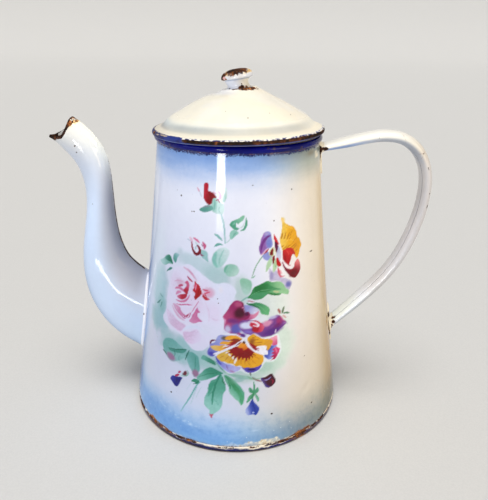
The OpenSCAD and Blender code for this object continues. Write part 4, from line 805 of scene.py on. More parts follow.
def quads(nu, nv, wrap_u=False, wrap_v=False, start=0):
    """Faces of a grid whose vertex (i, j) is number start + i * nv + j."""
    i = np.arange(nu if wrap_u else nu - 1)
    j = np.arange(nv if wrap_v else nv - 1)
    ii, jj = np.meshgrid(i, j, indexing="ij")
    i2, j2 = (ii + 1) % nu, (jj + 1) % nv
    return (start + np.stack([ii * nv + jj, i2 * nv + jj, i2 * nv + j2, ii * nv + j2], -1)).reshape(-1, 4)


def resample(points, step):
    """Points along a polyline at about that step."""
    p = np.asarray(points, float)
    d = np.r_[0, np.cumsum(np.linalg.norm(np.diff(p, axis=0), axis=1))]
    n = max(2, int(round(d[-1] / step)) + 1)
    s = np.linspace(0, d[-1], n)
    return np.stack([np.interp(s, d, p[:, k]) for k in range(p.shape[1])], -1)


def arc(cx, cz, r, a0, a1, n):
    a = np.radians(np.linspace(a0, a1, n))
    return np.stack([cx + r * np.cos(a), cz + r * np.sin(a)], -1)


def lathe(section, n, closed=True):
    """Turns a section of (r, z) points round the Z axis: vertices, faces, and each vertex's angle, from the -Y axis towards +X."""
    sec = np.asarray(section, float)
    th = np.arange(n) / n * 2 * np.pi
    m = len(sec)
    rr, tt = np.meshgrid(sec[:, 0], th)
    zz = np.broadcast_to(sec[:, 1], rr.shape)
    v = np.stack([rr * np.sin(tt), -rr * np.cos(tt), zz], -1).reshape(-1, 3)
    f = quads(n, m, True, closed)
    if not closed:  # a section that ends on the axis closes there
        pole = {}
        for j in (0, m - 1):
            if sec[j, 0] < 1e-6:
                for i in range(n):
                    pole[i * m + j] = j
        if pole:
            lookup = np.arange(n * m)
            for a, b2 in pole.items():
                lookup[a] = b2
            f = lookup[f]
    return v, f, np.repeat(th, m)


def stations(keys, n):
    return catmull(keys, n, closed=False)


def at_s(line, s):
    """Rows of line at the fractions s, by linear steps between its rows."""
    m = len(line) - 1
    t = np.clip(np.asarray(s) * m, 0, m)
    i = np.minimum(t.astype(int), m - 1)
    f = (t - i)[..., None]
    return line[i] * (1 - f) + line[i + 1] * f


spout_line = stations(SPOUT_KEYS, 14)
handle_c = stations(HANDLE_KEYS, 14)
_d = np.gradient(handle_c[:, :2], axis=0)
_d /= np.linalg.norm(_d, axis=1)[:, None]
handle_line = np.column_stack([handle_c[:, 0], handle_c[:, 1], -_d[:, 1], _d[:, 0], handle_c[:, 2]])


def sq(c, p):
    return np.sign(c) * np.abs(c) ** p


def spout_point(s, a, t=0.0):
    """A point of the spout's skin at the fraction s of its length and the angle a of its section, t further in."""
    k = at_s(spout_line, s)
    hx, hz = -(k[..., 0] - k[..., 2]) / 2, (k[..., 1] - k[..., 3]) / 2
    cx, cz = -(k[..., 0] + k[..., 2]) / 2, (k[..., 1] + k[..., 3]) / 2
    h = np.sqrt(hx * hx + hz * hz)
    f = np.maximum(h - t, 0.25) / h
    w = np.maximum(k[..., 4] - t, 0.25)
    return np.stack([cx + hx * f * np.cos(a), w * np.sin(a), cz + hz * f * np.cos(a)], -1)


def handle_point(s, a, t=0.0, width=7.6):
    k = at_s(handle_line, s)
    r = np.maximum(k[..., 4] - t, 0.25)
    w = max(width - t, 0.25) if np.isscalar(t) else np.maximum(width - t, 0.25)
    return np.stack([k[..., 0] + k[..., 2] * r * np.cos(a), w * np.sin(a), k[..., 1] + k[..., 3] * r * np.cos(a)], -1)


def cross_wall(fn, a, s0, s1, d, leaving=True):
    """The fraction at which the line of angle a passes the wall, d outside it."""
    s = np.linspace(s0, s1, 400)
    p = fn(s[None, :], np.asarray(a)[:, None] + 0 * s[None, :])
    g = np.hypot(p[..., 0], p[..., 1]) - wall_r(p[..., 2]) - d
    out = []
    for row in g:
        hit = np.nonzero((row[:-1] < 0) & (row[1:] >= 0))[0] if leaving else np.nonzero((row[:-1] > 0) & (row[1:] <= 0))[0]
        if len(hit):
            i = hit[0]
            out.append(s[i] + (s[i + 1] - s[i]) * (-row[i]) / (row[i + 1] - row[i]))
        else:
            out.append(s0 if leaving else s1)
    return np.array(out)


def mouth_end(a, cut):
    """The fraction at which the line of angle a meets the cut of the beak."""
    m = np.array(cut)
    s = np.linspace(0.6, 1.0, 500)
    p = spout_point(s[None, :], np.asarray(a)[:, None] + 0 * s[None, :])
    g = p[..., 2] - np.interp(p[..., 0], m[:, 0], m[:, 1])
    out = []
    for row in g:
        hit = np.nonzero((row[:-1] < 0) & (row[1:] >= 0))[0]
        out.append(s[hit[0]] if len(hit) else 0.998)
    return np.array(out)


def tube_half(fn, a, s_from, s_to, rows, t):
    """A bent sheet: its outer skin, its inner skin t further in, and the edges between them. Vertices are rows of one loop."""
    u = np.linspace(0, 1, rows)[:, None]
    s = s_from[None, :] * (1 - u) + s_to[None, :] * u
    outer = fn(s, a[None, :] + 0 * s)
    inner = fn(s, a[None, :] + 0 * s, t)
    loop = np.concatenate([outer, inner[:, ::-1]], 1)
    m = loop.shape[1]
    k = len(a)
    f = quads(rows, m, False, True)
    caps = []
    for r in (0, rows - 1):
        for i in range(k - 1):
            q = [r * m + i, r * m + i + 1, r * m + m - 2 - i, r * m + m - 1 - i]
            caps.append(q if r == 0 else q[::-1])
    return loop.reshape(-1, 3), np.concatenate([f, np.array(caps)]), s, u


def shade_noise(v, scale, seed, octaves=3):
    return fbm(v[:, 0] / scale, v[:, 1] / scale, v[:, 2] / scale, seed, octaves)


# ---------------------------------------------------------------- materials
def node(nt, kind, **inputs):
    n = nt.nodes.new(kind)
    for k, v in inputs.items():
        setattr(n, k, v)
    return n


def ramp(nt, stops, interp="LINEAR"):
    r = nt.nodes.new("ShaderNodeValToRGB")
    r.color_ramp.interpolation = interp
    el = r.color_ramp.elements
    while len(el) > 1:
        el.remove(el[-1])
    el[0].position, el[0].color = stops[0][0], (*stops[0][1], 1)
    for p, c in stops[1:]:
        e = el.new(p)
        e.color = (*c, 1)
    return r


def maths(nt, op, a, b=None, clamp=False):
    m = nt.nodes.new("ShaderNodeMath")
    m.operation, m.use_clamp = op, clamp
    for i, v in enumerate((a, b)):
        if v is None:
            continue
        if isinstance(v, (int, float)):
            m.inputs[i].default_value = v
        else:
            nt.links.new(v, m.inputs[i])
    return m.outputs[0]


def smooth_range(nt, value, lo, hi, out_lo=0.0, out_hi=1.0):
    m = nt.nodes.new("ShaderNodeMapRange")
    m.interpolation_type = "SMOOTHSTEP"
    m.inputs["From Min"].default_value, m.inputs["From Max"].default_value = lo, hi
    m.inputs["To Min"].default_value, m.inputs["To Max"].default_value = out_lo, out_hi
    nt.links.new(value, m.inputs["Value"])
    return m.outputs["Result"]


def mix_colour(nt, fac, a, b, kind="MIX"):
    m = nt.nodes.new("ShaderNodeMix")
    m.data_type, m.blend_type = "RGBA", kind
    if isinstance(fac, (int, float)):
        m.inputs[0].default_value = fac
    else:
        nt.links.new(fac, m.inputs[0])
    for i, v in ((6, a), (7, b)):
        if isinstance(v, tuple):
            m.inputs[i].default_value = (*v, 1)
        else:
            nt.links.new(v, m.inputs[i])
    return m.outputs[2]


def noise(nt, coords, scale, detail=3.0, rough=0.55, distort=0.0):
    n = nt.nodes.new("ShaderNodeTexNoise")
    n.inputs["Scale"].default_value = scale
    n.inputs["Detail"].default_value = detail
    n.inputs["Roughness"].default_value = rough
    n.inputs["Distortion"].default_value = distort
    nt.links.new(coords, n.inputs["Vector"])
    return n.outputs[0]


def enamel(name, painted=True, gloss=0.10, tint=None, chip=None, peel=1.0, spec=0.5, extra=None, satin=None):
    """Vitreous enamel on sheet steel. The paint is the mesh's own colour, with painted light and shade folded in at
    places, wear says where it is chipped to the rusty steel, and noise breaks every chip's edge. A CAD node has no such
    numbers, so chip(nt, coords) gives its wear and tint its colours."""
    m = bpy.data.materials.new(name)
    m.use_nodes = True
    nt = m.node_tree
    bsdf = nt.nodes["Principled BSDF"]
    coords = nt.nodes.new("ShaderNodeTexCoord").outputs["Object"]
    if painted:
        c = node(nt, "ShaderNodeAttribute", attribute_name="paint").outputs["Color"]
        wear = node(nt, "ShaderNodeAttribute", attribute_name="wear").outputs["Fac"]
        rusty = node(nt, "ShaderNodeAttribute", attribute_name="rusty").outputs["Fac"]
    else:
        c = tint(nt, coords)
        wear = chip(nt, coords)
        rusty = wear
    fine = noise(nt, coords, 1500, 4, 0.6)
    mid = noise(nt, coords, 420, 3, 0.55)
    broken = maths(nt, "ADD", wear, maths(nt, "ADD", maths(nt, "MULTIPLY", maths(nt, "SUBTRACT", fine, 0.5), 0.34),
                                          maths(nt, "MULTIPLY", maths(nt, "SUBTRACT", mid, 0.5), 0.42)))
    bare = smooth_range(nt, broken, 0.50, 0.535)
    ground = smooth_range(nt, broken, 0.455, 0.475)
    stain = smooth_range(nt, broken, 0.24, 0.50)
    # enamel: slight clouding in the glaze, and a few pinholes
    cloud = noise(nt, coords, 34, 3, 0.5)
    cloud2 = noise(nt, coords, 260, 2, 0.5)
    glaze = mix_colour(nt, 1.0, c, ramp_out(nt, cloud, [(0.30, (0.945, 0.950, 0.965)), (0.72, (1.0, 1.0, 1.0))]), "MULTIPLY")
    glaze = mix_colour(nt, 0.5, glaze, ramp_out(nt, cloud2, [(0.30, (0.955, 0.955, 0.960)), (0.70, (1.0, 1.0, 1.0))]), "MULTIPLY")
    pin = nt.nodes.new("ShaderNodeTexVoronoi")
    pin.inputs["Scale"].default_value = 70
    nt.links.new(coords, pin.inputs["Vector"])
    dots = maths(nt, "MULTIPLY", smooth_range(nt, pin.outputs["Distance"], 0.016, 0.030, 1.0, 0.0),
                 smooth_range(nt, noise(nt, coords, 55, 1, 0.5), 0.60, 0.66))
    glaze = mix_colour(nt, maths(nt, "MULTIPLY", dots, 0.75), glaze, (0.10, 0.09, 0.10))
    if extra:
        glaze = extra(nt, coords, glaze)
    # rust
    patch = maths(nt, "ADD", noise(nt, coords, 330, 5, 0.65, 0.4), maths(nt, "MULTIPLY", maths(nt, "SUBTRACT", fine, 0.5), 0.55))
    iron = ramp_out(nt, maths(nt, "ADD", patch, maths(nt, "MULTIPLY", maths(nt, "SUBTRACT", rusty, 0.5), 0.42)),
                    [(0.30, (0.012, 0.006, 0.004)), (0.46, (0.050, 0.018, 0.010)), (0.58, (0.125, 0.040, 0.014)),
                     (0.72, (0.340, 0.120, 0.030)), (0.86, (0.520, 0.230, 0.075))])
    halo = mix_colour(nt, maths(nt, "MULTIPLY", maths(nt, "MULTIPLY", stain, rusty, ), 0.62, True), glaze, (0.30, 0.125, 0.045))
    under = mix_colour(nt, ground, halo, (0.045, 0.050, 0.075))
    nt.links.new(mix_colour(nt, bare, under, iron), bsdf.inputs["Base Color"])
    smear = noise(nt, coords, 90, 4, 0.6)
    polish = smooth_range(nt, smear, 0.35, 0.75, gloss * 0.75, gloss * 1.6)
    if satin:
        polish = maths(nt, "ADD", polish, smooth_range(nt, height_of(nt, coords)[2], satin[0], satin[1], satin[2], 0.0))
    dull = nt.nodes.new("ShaderNodeMix")
    dull.data_type = "FLOAT"
    nt.links.new(bare, dull.inputs[0])
    nt.links.new(polish, dull.inputs[2])
    dull.inputs[3].default_value = 0.78
    nt.links.new(dull.outputs[0], bsdf.inputs["Roughness"])
    nt.links.new(smooth_range(nt, bare, 0.0, 1.0, spec, 0.12), bsdf.inputs["Specular IOR Level"])
    bsdf.inputs["IOR"].default_value = 1.5
    # relief: the glaze's slight orange peel, the step of a chip, and the grain of the rust
    peel_h = maths(nt, "MULTIPLY", noise(nt, coords, 210, 2, 0.5), 0.10 * peel)
    wave_h = maths(nt, "MULTIPLY", noise(nt, coords, 28, 2, 0.5), 1.3 * peel)
    step_h = maths(nt, "MULTIPLY", ground, -0.9)
    grain_h = maths(nt, "MULTIPLY", maths(nt, "MULTIPLY", bare, fine), 1.2)
    height = maths(nt, "ADD", maths(nt, "ADD", peel_h, wave_h), maths(nt, "ADD", step_h, grain_h))
    bump = nt.nodes.new("ShaderNodeBump")
    bump.inputs["Strength"].default_value = 0.55
    bump.inputs["Distance"].default_value = 0.00016
    nt.links.new(height, bump.inputs["Height"])
    nt.links.new(bump.outputs["Normal"], bsdf.inputs["Normal"])
    return m


def ramp_out(nt, value, stops):
    r = ramp(nt, stops)
    nt.links.new(value, r.inputs[0])
    return r.outputs[0]


def height_of(nt, coords):
    s = nt.nodes.new("ShaderNodeSeparateXYZ")
    nt.links.new(coords, s.inputs[0])
    return s.outputs["X"], s.outputs["Y"], s.outputs["Z"]


def steel(name, rust_amount):
    """Drawn or sheet steel, rusted."""
    m = bpy.data.materials.new(name)
    m.use_nodes = True
    nt = m.node_tree
    bsdf = nt.nodes["Principled BSDF"]
    coords = nt.nodes.new("ShaderNodeTexCoord").outputs["Object"]
    n1 = noise(nt, coords, 300, 5, 0.65, 0.5)
    n2 = noise(nt, coords, 1800, 3, 0.6)
    rust = smooth_range(nt, n1, 0.62 - rust_amount * 0.4, 0.70 - rust_amount * 0.3)
    bare = ramp_out(nt, n2, [(0.3, (0.16, 0.15, 0.145)), (0.7, (0.30, 0.29, 0.28))])
    brown = ramp_out(nt, n1, [(0.3, (0.035, 0.014, 0.008)), (0.55, (0.13, 0.045, 0.018)), (0.75, (0.34, 0.13, 0.04))])
    nt.links.new(mix_colour(nt, rust, bare, brown), bsdf.inputs["Base Color"])
    nt.links.new(smooth_range(nt, rust, 0, 1, 0.9, 0.0), bsdf.inputs["Metallic"])
    nt.links.new(smooth_range(nt, maths(nt, "ADD", rust, n2), 0.3, 1.6, 0.34, 0.85), bsdf.inputs["Roughness"])
    bump = nt.nodes.new("ShaderNodeBump")
    bump.inputs["Strength"].default_value = 0.5
    bump.inputs["Distance"].default_value = 0.0001
    nt.links.new(n2, bump.inputs["Height"])
    nt.links.new(bump.outputs["Normal"], bsdf.inputs["Normal"])
    return m


def wall_extra(nt, coords, colour):
    """What is finer than the mesh: navy spray under the rim, and pale flecks and mottling in the lower blue."""
    x, y, z = height_of(nt, coords)
    grit = noise(nt, coords, 1250, 3, 0.62)
    drift = noise(nt, coords, 130, 2, 0.5)
    near = maths(nt, "ADD", smooth_range(nt, z, 0.1922, 0.1958, -0.20, 0.20), maths(nt, "MULTIPLY", maths(nt, "SUBTRACT", drift, 0.5), 0.30))
    colour = mix_colour(nt, smooth_range(nt, maths(nt, "ADD", grit, near), 0.53, 0.60), colour, (0.010, 0.014, 0.105))
    low = smooth_range(nt, maths(nt, "ADD", z, maths(nt, "MULTIPLY", maths(nt, "SUBTRACT", drift, 0.5), 0.014)), 0.018, 0.034, 1.0, 0.0)
    mottle = ramp_out(nt, noise(nt, coords, 240, 5, 0.7), [(0.34, (0.80, 0.86, 0.93)), (0.52, (1.0, 1.0, 1.0)), (0.72, (1.12, 1.07, 1.03))])
    colour = mix_colour(nt, maths(nt, "MULTIPLY", low, 0.9), colour, mix_colour(nt, 1.0, colour, mottle, "MULTIPLY"))
    fleck = nt.nodes.new("ShaderNodeTexVoronoi")
    fleck.inputs["Scale"].default_value = 310
    nt.links.new(coords, fleck.inputs["Vector"])
    pale = maths(nt, "MULTIPLY", smooth_range(nt, fleck.outputs["Distance"], 0.06, 0.12, 1.0, 0.0),
                 smooth_range(nt, noise(nt, coords, 210, 2, 0.5), 0.47, 0.55))
    return mix_colour(nt, maths(nt, "MULTIPLY", maths(nt, "MULTIPLY", pale, low), 0.75), colour, (0.62, 0.70, 0.78))


mat_wall = enamel("enamel_wall", gloss=0.085, peel=0.8, extra=wall_extra, spec=0.38)
mat_lid = enamel("enamel_lid", gloss=0.11, peel=1.3, spec=0.36, satin=(0.2065, 0.2150, 0.40))
mat_trim = enamel("enamel_trim", gloss=0.12, peel=0.8, spec=0.30)
mat_bead = enamel("enamel_bead", gloss=0.085, peel=0.8, spec=0.17)
mat_spout = enamel("enamel_spout", gloss=0.075, peel=1.0)
mat_handle = enamel("enamel_handle", gloss=0.10, peel=1.0)
mat_knob = enamel("enamel_knob", gloss=0.12, peel=1.6)


def inside_colour(nt, coords):
    x, y, z = height_of(nt, coords)
    tide = maths(nt, "ADD", z, maths(nt, "MULTIPLY", maths(nt, "SUBTRACT", noise(nt, coords, 38, 3, 0.5), 0.5), 0.035))
    body = ramp_out(nt, smooth_range(nt, tide, 0.0, 0.20),
                    [(0.0, (0.55, 0.46, 0.34)), (0.20, (0.74, 0.68, 0.56)), (0.45, (0.80, 0.79, 0.74)), (0.9, (0.84, 0.84, 0.83))])
    return mix_colour(nt, smooth_range(nt, z, 0.1954, 0.1960), body, (0.010, 0.016, 0.14))


def inside_wear(nt, coords):
    x, y, z = height_of(nt, coords)
    low = smooth_range(nt, z, 0.004, 0.012, 0.40, 0.12)
    lip = smooth_range(nt, z, 0.1985, 0.1998, 0.0, 0.22)
    return maths(nt, "ADD", low, lip)


mat_inside = enamel("enamel_inside", painted=False, gloss=0.12, tint=inside_colour, chip=inside_wear, peel=1.2)


def collar_colour(nt, coords):
    x, y, z = height_of(nt, coords)
    return ramp_out(nt, smooth_range(nt, z, 0.188, 0.206), [(0.0, (0.66, 0.58, 0.44)), (0.5, (0.80, 0.77, 0.68)), (1.0, (0.82, 0.80, 0.73))])


def collar_wear(nt, coords):
    x, y, z = height_of(nt, coords)
    return smooth_range(nt, z, 0.1893, 0.1925, 0.46, 0.10)


mat_collar = enamel("enamel_collar", painted=False, gloss=0.13, tint=collar_colour, chip=collar_wear, peel=1.0)
mat_wire = steel("steel_wire", 0.35)
mat_rusty = steel("steel_rusty", 0.9)

for n, m in (("body_shell", mat_inside), ("lid_collar", mat_collar), ("rim_wire", mat_wire), ("lid_edge_wire", mat_wire),
             ("knob_rivet", mat_rusty), ("rivet_washer", mat_rusty)):
    ob = frame["nodes"][n]
    if not ob.material_slots:
        ob.data.materials.append(m)
    for s in ob.material_slots:
        s.material = m


# ---------------------------------------------------------------- wall
# painted light: the enamel is painted cool blue-white on the front and left and cream to the right, where the warm
# light falls
CREAM_WARM_LIT_SIDE = np.array([0.93, 0.875, 0.77])
COOL_LIT_FRONT = np.array([0.885, 0.90, 0.955])


def ring_patch(th, z, seed, scale=0.10):
    """Noise that closes round the pot: th is the angle, scale the size of a patch in radians."""
    k = 1 / scale
    return fbm(np.cos(th) * k, np.sin(th) * k, z / 6.0, seed, 4)


def spots(v, wear, places, strength=0.95):
    """Chips round the given points (x, y, z, radius), in mm."""
    for x, y, z, r in places:
        d = np.sqrt((v[:, 0] - x) ** 2 + (v[:, 1] - y) ** 2 + (v[:, 2] - z) ** 2)
        wear = np.maximum(wear, strength - 0.45 * d / r)
    return wear


def wall_paint(x, z):
    """Display colour, with painted light and shade, wear and rust of the wall at x (mm of a 60 mm circle) and z."""
    th = x / 60.0
    c = np.tile(COOL_LIT_FRONT, (len(x), 1))
    c = mix(c, CREAM_WARM_LIT_SIDE, sstep(12, 70, x) * 0.75)
    back = sstep(80, 110, np.abs(x))
    c = mix(c, (0.90, 0.895, 0.885), back)
    behind = sstep(105, 170, np.abs(x))

    def to_right(a, b):
        """0 left of a, 1 right of b, and meeting behind the pot."""
        return sstep(a, b, x) * (1 - behind) + 0.3 * behind

    bouquet_zone = (x > -62) & (x < 52) & (z > 15) & (z < 184)
    spray = 0.10 * (fbm(x / 1.3, z / 1.3, 0.5, 41, 3) - 0.5) + 0.22 * (ring_patch(th, z, 42, 0.5) - 0.5)
    top = sstep(164, 197, z + 30 * spray) ** 1.7
    # to the right the upper blue turns grey-green: painted warm light
    blue = mix(np.tile((0.42, 0.585, 0.84), (len(x), 1)), (0.575, 0.635, 0.625), to_right(14, 58))
    c = mix(c, blue, np.clip(top * 0.91, 0, 1))
    # the lower band stands higher on the left, is strongest at 12 mm and paler again at the foot
    zb = z + 3 + 24 * spray - 7 * sstep(-10, -50, x) * (1 - sstep(80, 130, np.abs(x))) + 2.5 * to_right(-6, 12)
    low = (1 - sstep(9, 33, zb)) ** 1.15
    # to the right the lower blue turns grey-green too: painted warm light
    blue2 = mix(np.tile((0.39, 0.60, 0.845), (len(x), 1)), (0.50, 0.57, 0.56), to_right(22, 62))
    c = mix(c, blue2, np.clip(low * 0.98, 0, 1))
    c = mix(c, (0.62, 0.76, 0.88), (1 - sstep(3, 11, z)) * 0.45)
    # a pale blue haze low down that turns tan to the right: the tan is painted warm light
    low_haze_and_warm_light = 1 - sstep(15, 95, z)
    c = mix(c, mix(np.tile((0.72, 0.80, 0.92), (len(x), 1)), (0.74, 0.70, 0.61), to_right(-8, 40)), low_haze_and_warm_light * 0.42)
    # painted shade: the lower band darker, warmer to the right
    c = c * (1 - (1 - sstep(11, 38, z))[:, None] * mix(np.tile((0.125, 0.015, -0.03), (len(x), 1)), (0.21, 0.16, 0.11), to_right(0, 44)))
    # painted shade: darker towards the bottom
    c = c * (1 - (1 - sstep(30, 150, z))[:, None] * np.array([0.055, 0.06, 0.06]))
    # painted shade under the rim, on the right
    c = c * (1 - 0.12 * sstep(186, 194, z) * to_right(5, 30))[:, None]
    # painted shade down the left side
    left = sstep(-58, -70, x) * (1 - sstep(88, 120, np.abs(x))) * sstep(14, 30, z) * (1 - sstep(120, 165, z))
    c = c * (1 - left[:, None] * np.array([0.095, 0.055, 0.015]))
    # painted shade along the left edge
    rim = sstep(-65, -77, x) * (1 - sstep(88, 120, np.abs(x))) * sstep(6, 20, z) * (1 - sstep(150, 185, z))
    c = c * (1 - rim[:, None] * np.array([0.40, 0.31, 0.17]))
    # painted warm shade along the right edge
    rim = sstep(64, 80, x) * (1 - sstep(92, 118, x)) * sstep(10, 30, z) * (1 - sstep(168, 188, z))
    c = c * (1 - rim[:, None] * np.array([0.05, 0.12, 0.27]))
    # painted warm shade on the right side, stronger low down
    tan = sstep(54, 74, x) * (1 - sstep(92, 118, x)) * (1 - sstep(70, 125, z))
    c = c * (1 - tan[:, None] * np.array([0.085, 0.12, 0.19]) * (1 + 0.8 * (1 - sstep(14, 40, z)))[:, None])
    # painted warm reflection on the right side
    painted_warm_reflection = sstep(62, 84, x) * (1 - sstep(92, 112, x)) * (1 - sstep(110, 170, z)) * sstep(14, 34, z)
    c = mix(c, (0.74, 0.64, 0.46), painted_warm_reflection * 0.55)
    i = np.nonzero(bouquet_zone)[0]
    b = Brush(x[i], z[i], c[i].copy())
    bouquet(b)
    c[i] = b.c
    pale = np.exp(-((x + 57) / 9.0) ** 4 - ((z - 118) / 30.0) ** 4)
    c = mix(c, (0.88, 0.945, 0.96), pale * 0.42)
    # painted shade: the front of the pot is painted a shade greyer than its sides
    centre = sstep(-78, -48, x) * (1 - sstep(2, 34, x)) * (1 - 0.5 * sstep(140, 172, z))
    c = c * (1 - centre[:, None] * (0.075 + 0.06 * np.exp(-((z - 88) / 42.0) ** 4))[:, None] * np.array([1.0, 0.95, 0.62]))
    # scratches in the lower blue, and a cream patch where the blue has worn off
    for p0, p1, w in (((-37, 20.5), (-16, 14.6), 0.42), ((-26, 18.2), (-7, 13.4), 0.34), ((-31, 15.6), (-22, 13.4), 0.3), ((-20, 14.2), (-12, 12.2), 0.35),
                      ((6, 17), (20, 15.8), 0.3), ((24, 14.6), (31, 15.8), 0.3), ((-44, 23), (-39, 21), 0.3)):
        s = Brush(x[i], z[i], c[i].copy())
        s.line([p0, ((p0[0] + p1[0]) / 2, (p0[1] + p1[1]) / 2 - 0.3), p1], w, (0.74, 0.82, 0.90), 0.7, 0.6)
        c[i] = s.c
    edge = ring_patch(th, z, 43, 0.05)
    worn = sstep(0.42, 0.50, 0.32 + 0.66 * np.exp(-((x - 13) / 18.0) ** 4) + 0.75 * (edge - 0.5) - (z - 3.6) * 0.115)
    worn = np.maximum(worn, sstep(0.50, 0.56, 0.40 + 0.20 * np.exp(-((x + 36) / 26.0) ** 2) + 0.7 * (ring_patch(th, z, 44, 0.06) - 0.5)
                                  - (z - 3.6) * 0.11))
    tone = ring_patch(th, z * 2.2, 49, 0.03)
    scuffed = mix(np.tile((0.70, 0.77, 0.85), (len(x), 1)), (0.86, 0.835, 0.76), sstep(2, 17, x))
    scuffed = mix(scuffed, (0.70, 0.60, 0.46), sstep(0.52, 0.68, tone) * 0.6 * sstep(-4, 8, x))
    scuffed = mix(scuffed, (0.42, 0.50, 0.62), sstep(0.56, 0.66, 1 - tone) * 0.45)
    c = mix(c, scuffed, worn * (0.75 + 0.25 * sstep(0, 14, x)))
    # chips: a broken line of rust where the wall enters the foot, and a few specks
    patch = ring_patch(th, z, 45, 0.055)
    wear = 0.10 + 0.62 * np.exp(-np.maximum(z - 3.8, 0) / 1.3) * (0.30 + 1.1 * patch)
    for cx, w, a in ((-49, 3, 0.80), (-41, 4, 0.48), (39, 2.6, 0.80), (44.5, 3, 0.80), (35, 5, 0.2), (-22, 5, 0.12), (62, 6, 0.2), (120, 8, 0.2), (-130, 9, 0.25)):
        wear += a * np.exp(-((x - cx) / w) ** 2) * np.exp(-np.maximum(z - 3.6, 0) / 2.4) * (0.4 + 1.2 * patch)
    rusty = 0.55 + 0.5 * (ring_patch(th, z, 46, 0.12) - 0.5) + 0.3 * np.exp(-((x - 41) / 7) ** 2) + 0.3 * np.exp(-((x + 48) / 6) ** 2)
    rusty = np.maximum(rusty, np.maximum(np.exp(-((x + 48) / 6) ** 2), np.exp(-((x - 42) / 7) ** 2)) * 1.5)
    # a pale cream triangle and a brown spot on the wall by the handle, under the rim
    tri = np.exp(-((x - 71 + (z - 190) * 0.5) / 3.0) ** 4 - ((z - 190.2) / 2.4) ** 4)
    c = mix(c, (0.90, 0.875, 0.79), sstep(0.3, 0.6, tri))
    c = mix(c, (0.50, 0.46, 0.38), np.exp(-((x - 62) / 4.5) ** 2 - ((z - 192.4) / 1.6) ** 2) * 0.75)
    # dotted lower edge of the dark rim
    wear = np.maximum(wear, 0.10 + 0.46 * np.exp(-((z - 195.7) / 0.55) ** 2) * (0.2 + 1.3 * ring_patch(th, z, 47, 0.03)))
    for cx, cz, r in ((-36, 168.5, 0.75), (-25.4, 160.4, 0.6), (-27, 160.2, 0.45), (26.2, 155.8, 0.6), (40, 173.2, 0.6), (12.4, 177.8, 0.5),
                      (-8.4, 107.5, 0.4), (-7.9, 104.6, 0.45), (-36, 34.2, 0.65), (22.6, 26.4, 0.7), (-51.4, 67.8, 0.4), (57, 130, 0.5),
                      (46, 60, 0.4), (-62, 140, 0.45), (66, 96, 0.55), (-72, 58, 0.5), (108, 120, 0.7), (160, 70, 0.8), (-150, 150, 0.7),
                      (50, 22, 0.6), (-20, 150.8, 0.3)):
        d = np.hypot(x - cx, (z - cz) * 1.2)
        wear = np.maximum(wear, 0.95 - 0.50 * d / r)
        rusty = np.where(d < 2 * r, 0.15, rusty)
    return np.clip(c, 0, 1), np.clip(wear, 0, 1), np.clip(rusty, 0, 1)


def make_wall():
    xs = np.arange(-57, 50.1, 0.54)
    rest = np.linspace(50.1 + 0.2, 2 * math.pi * 60 - 57, 82)[:-1]
    xs = np.r_[xs, rest]
    zs = np.r_[np.arange(3.4, 9, 0.6), np.arange(9, 20, 1.0), np.arange(20, 180, 0.54), np.arange(180, 196.5, 0.85)]
    nx, nz = len(xs), len(zs)
    xx, zz = np.meshgrid(xs, zs, indexing="ij")
    xw = np.where(xx > 188.5, xx - 2 * math.pi * 60, xx).ravel()
    z = zz.ravel()
    paint, wear, rusty = wall_paint(xw, z)
    th = xx.ravel() / 60.0
    # the sheet is a little uneven, as it comes from the rolls
    dent = 0.10 * (fbm(np.cos(th) * 2.2, np.sin(th) * 2.2, z / 45.0, 51, 2) - 0.5)
    r = wall_r(z) + 0.16 + dent - 0.10 * sstep(0.5, 0.62, wear)
    dx, dz = xw - 46, z - 36.5 - 0.5 * (xw - 46)
    r += 0.42 * np.exp(-(dx / 11) ** 2 - (dz / 8.5) ** 2) - 0.50 * np.exp(-(dx / 4.4) ** 2 - (dz / 3.2) ** 2)
    r = np.where(z < 6, np.minimum(r, 76.45 + (z - 3.4) * 0.115), r)
    v = np.stack([r * np.sin(th), -r * np.cos(th), z], -1)
    f = quads(nx, nz, True, False)
    # no skin over the strainer behind the spout
    c = v[f].mean(1)
    hidden = (c[:, 0] < 0) & (((np.abs(c[:, 1]) / 11.0) ** 2 + ((c[:, 2] - 66) / 27.0) ** 2) < 1)
    f = f[~hidden]
    return build("wall_enamel", v, f, "pot", mat_wall, paint, wear, rusty, closed=False,
                 outward=lambda p: np.array([p[0], p[1], 0]))


make_wall()


# ---------------------------------------------------------------- rim bead and foot
def make_bead():
    sec = arc(RIM_R, RIM_Z, 2.06, 0, 360, 29)[:-1]
    v, f, th = lathe(sec, 720)
    x = np.where(th > math.pi, th - 2 * math.pi, th) * 60
    ang = np.degrees(np.arctan2(v[:, 2] - RIM_Z, np.hypot(v[:, 0], v[:, 1]) - RIM_R))
    n = ring_patch(th, v[:, 2] * 2, 61, 0.03)
    paint = mix(np.tile((0.004, 0.012, 0.34), (len(v), 1)), (0.02, 0.04, 0.43), sstep(0.35, 0.7, ring_patch(th, v[:, 2], 62, 0.3)))
    wear = 0.12 + 0.30 * np.exp(-((ang + 78) / 16.0) ** 2) * (0.3 + 1.5 * n)
    for cx, ca, r in ((26, 20, 0.9), (22, 28, 0.6), (-54, 15, 1.0), (-47, -10, 0.7), (48, -20, 0.9), (-4, 5, 0.4), (140, 30, 1.6), (-120, 10, 1.4)):
        d = np.hypot(x - cx, (ang - ca) * 0.036)
        wear = np.maximum(wear, 0.86 - 0.42 * d / r)
    rusty = 0.05 + 0.5 * (ring_patch(th, v[:, 2], 63, 0.1) - 0.2)
    out = np.stack([np.sin(th), -np.cos(th), 0 * th], -1)
    v = v + out * (0.05 * (ring_patch(th, v[:, 2] * 0, 64, 0.25) - 0.5) - 0.10 * sstep(0.5, 0.65, wear))[:, None]
    build("rim_bead", v, f, "pot", mat_bead, paint, wear, rusty)


make_bead()


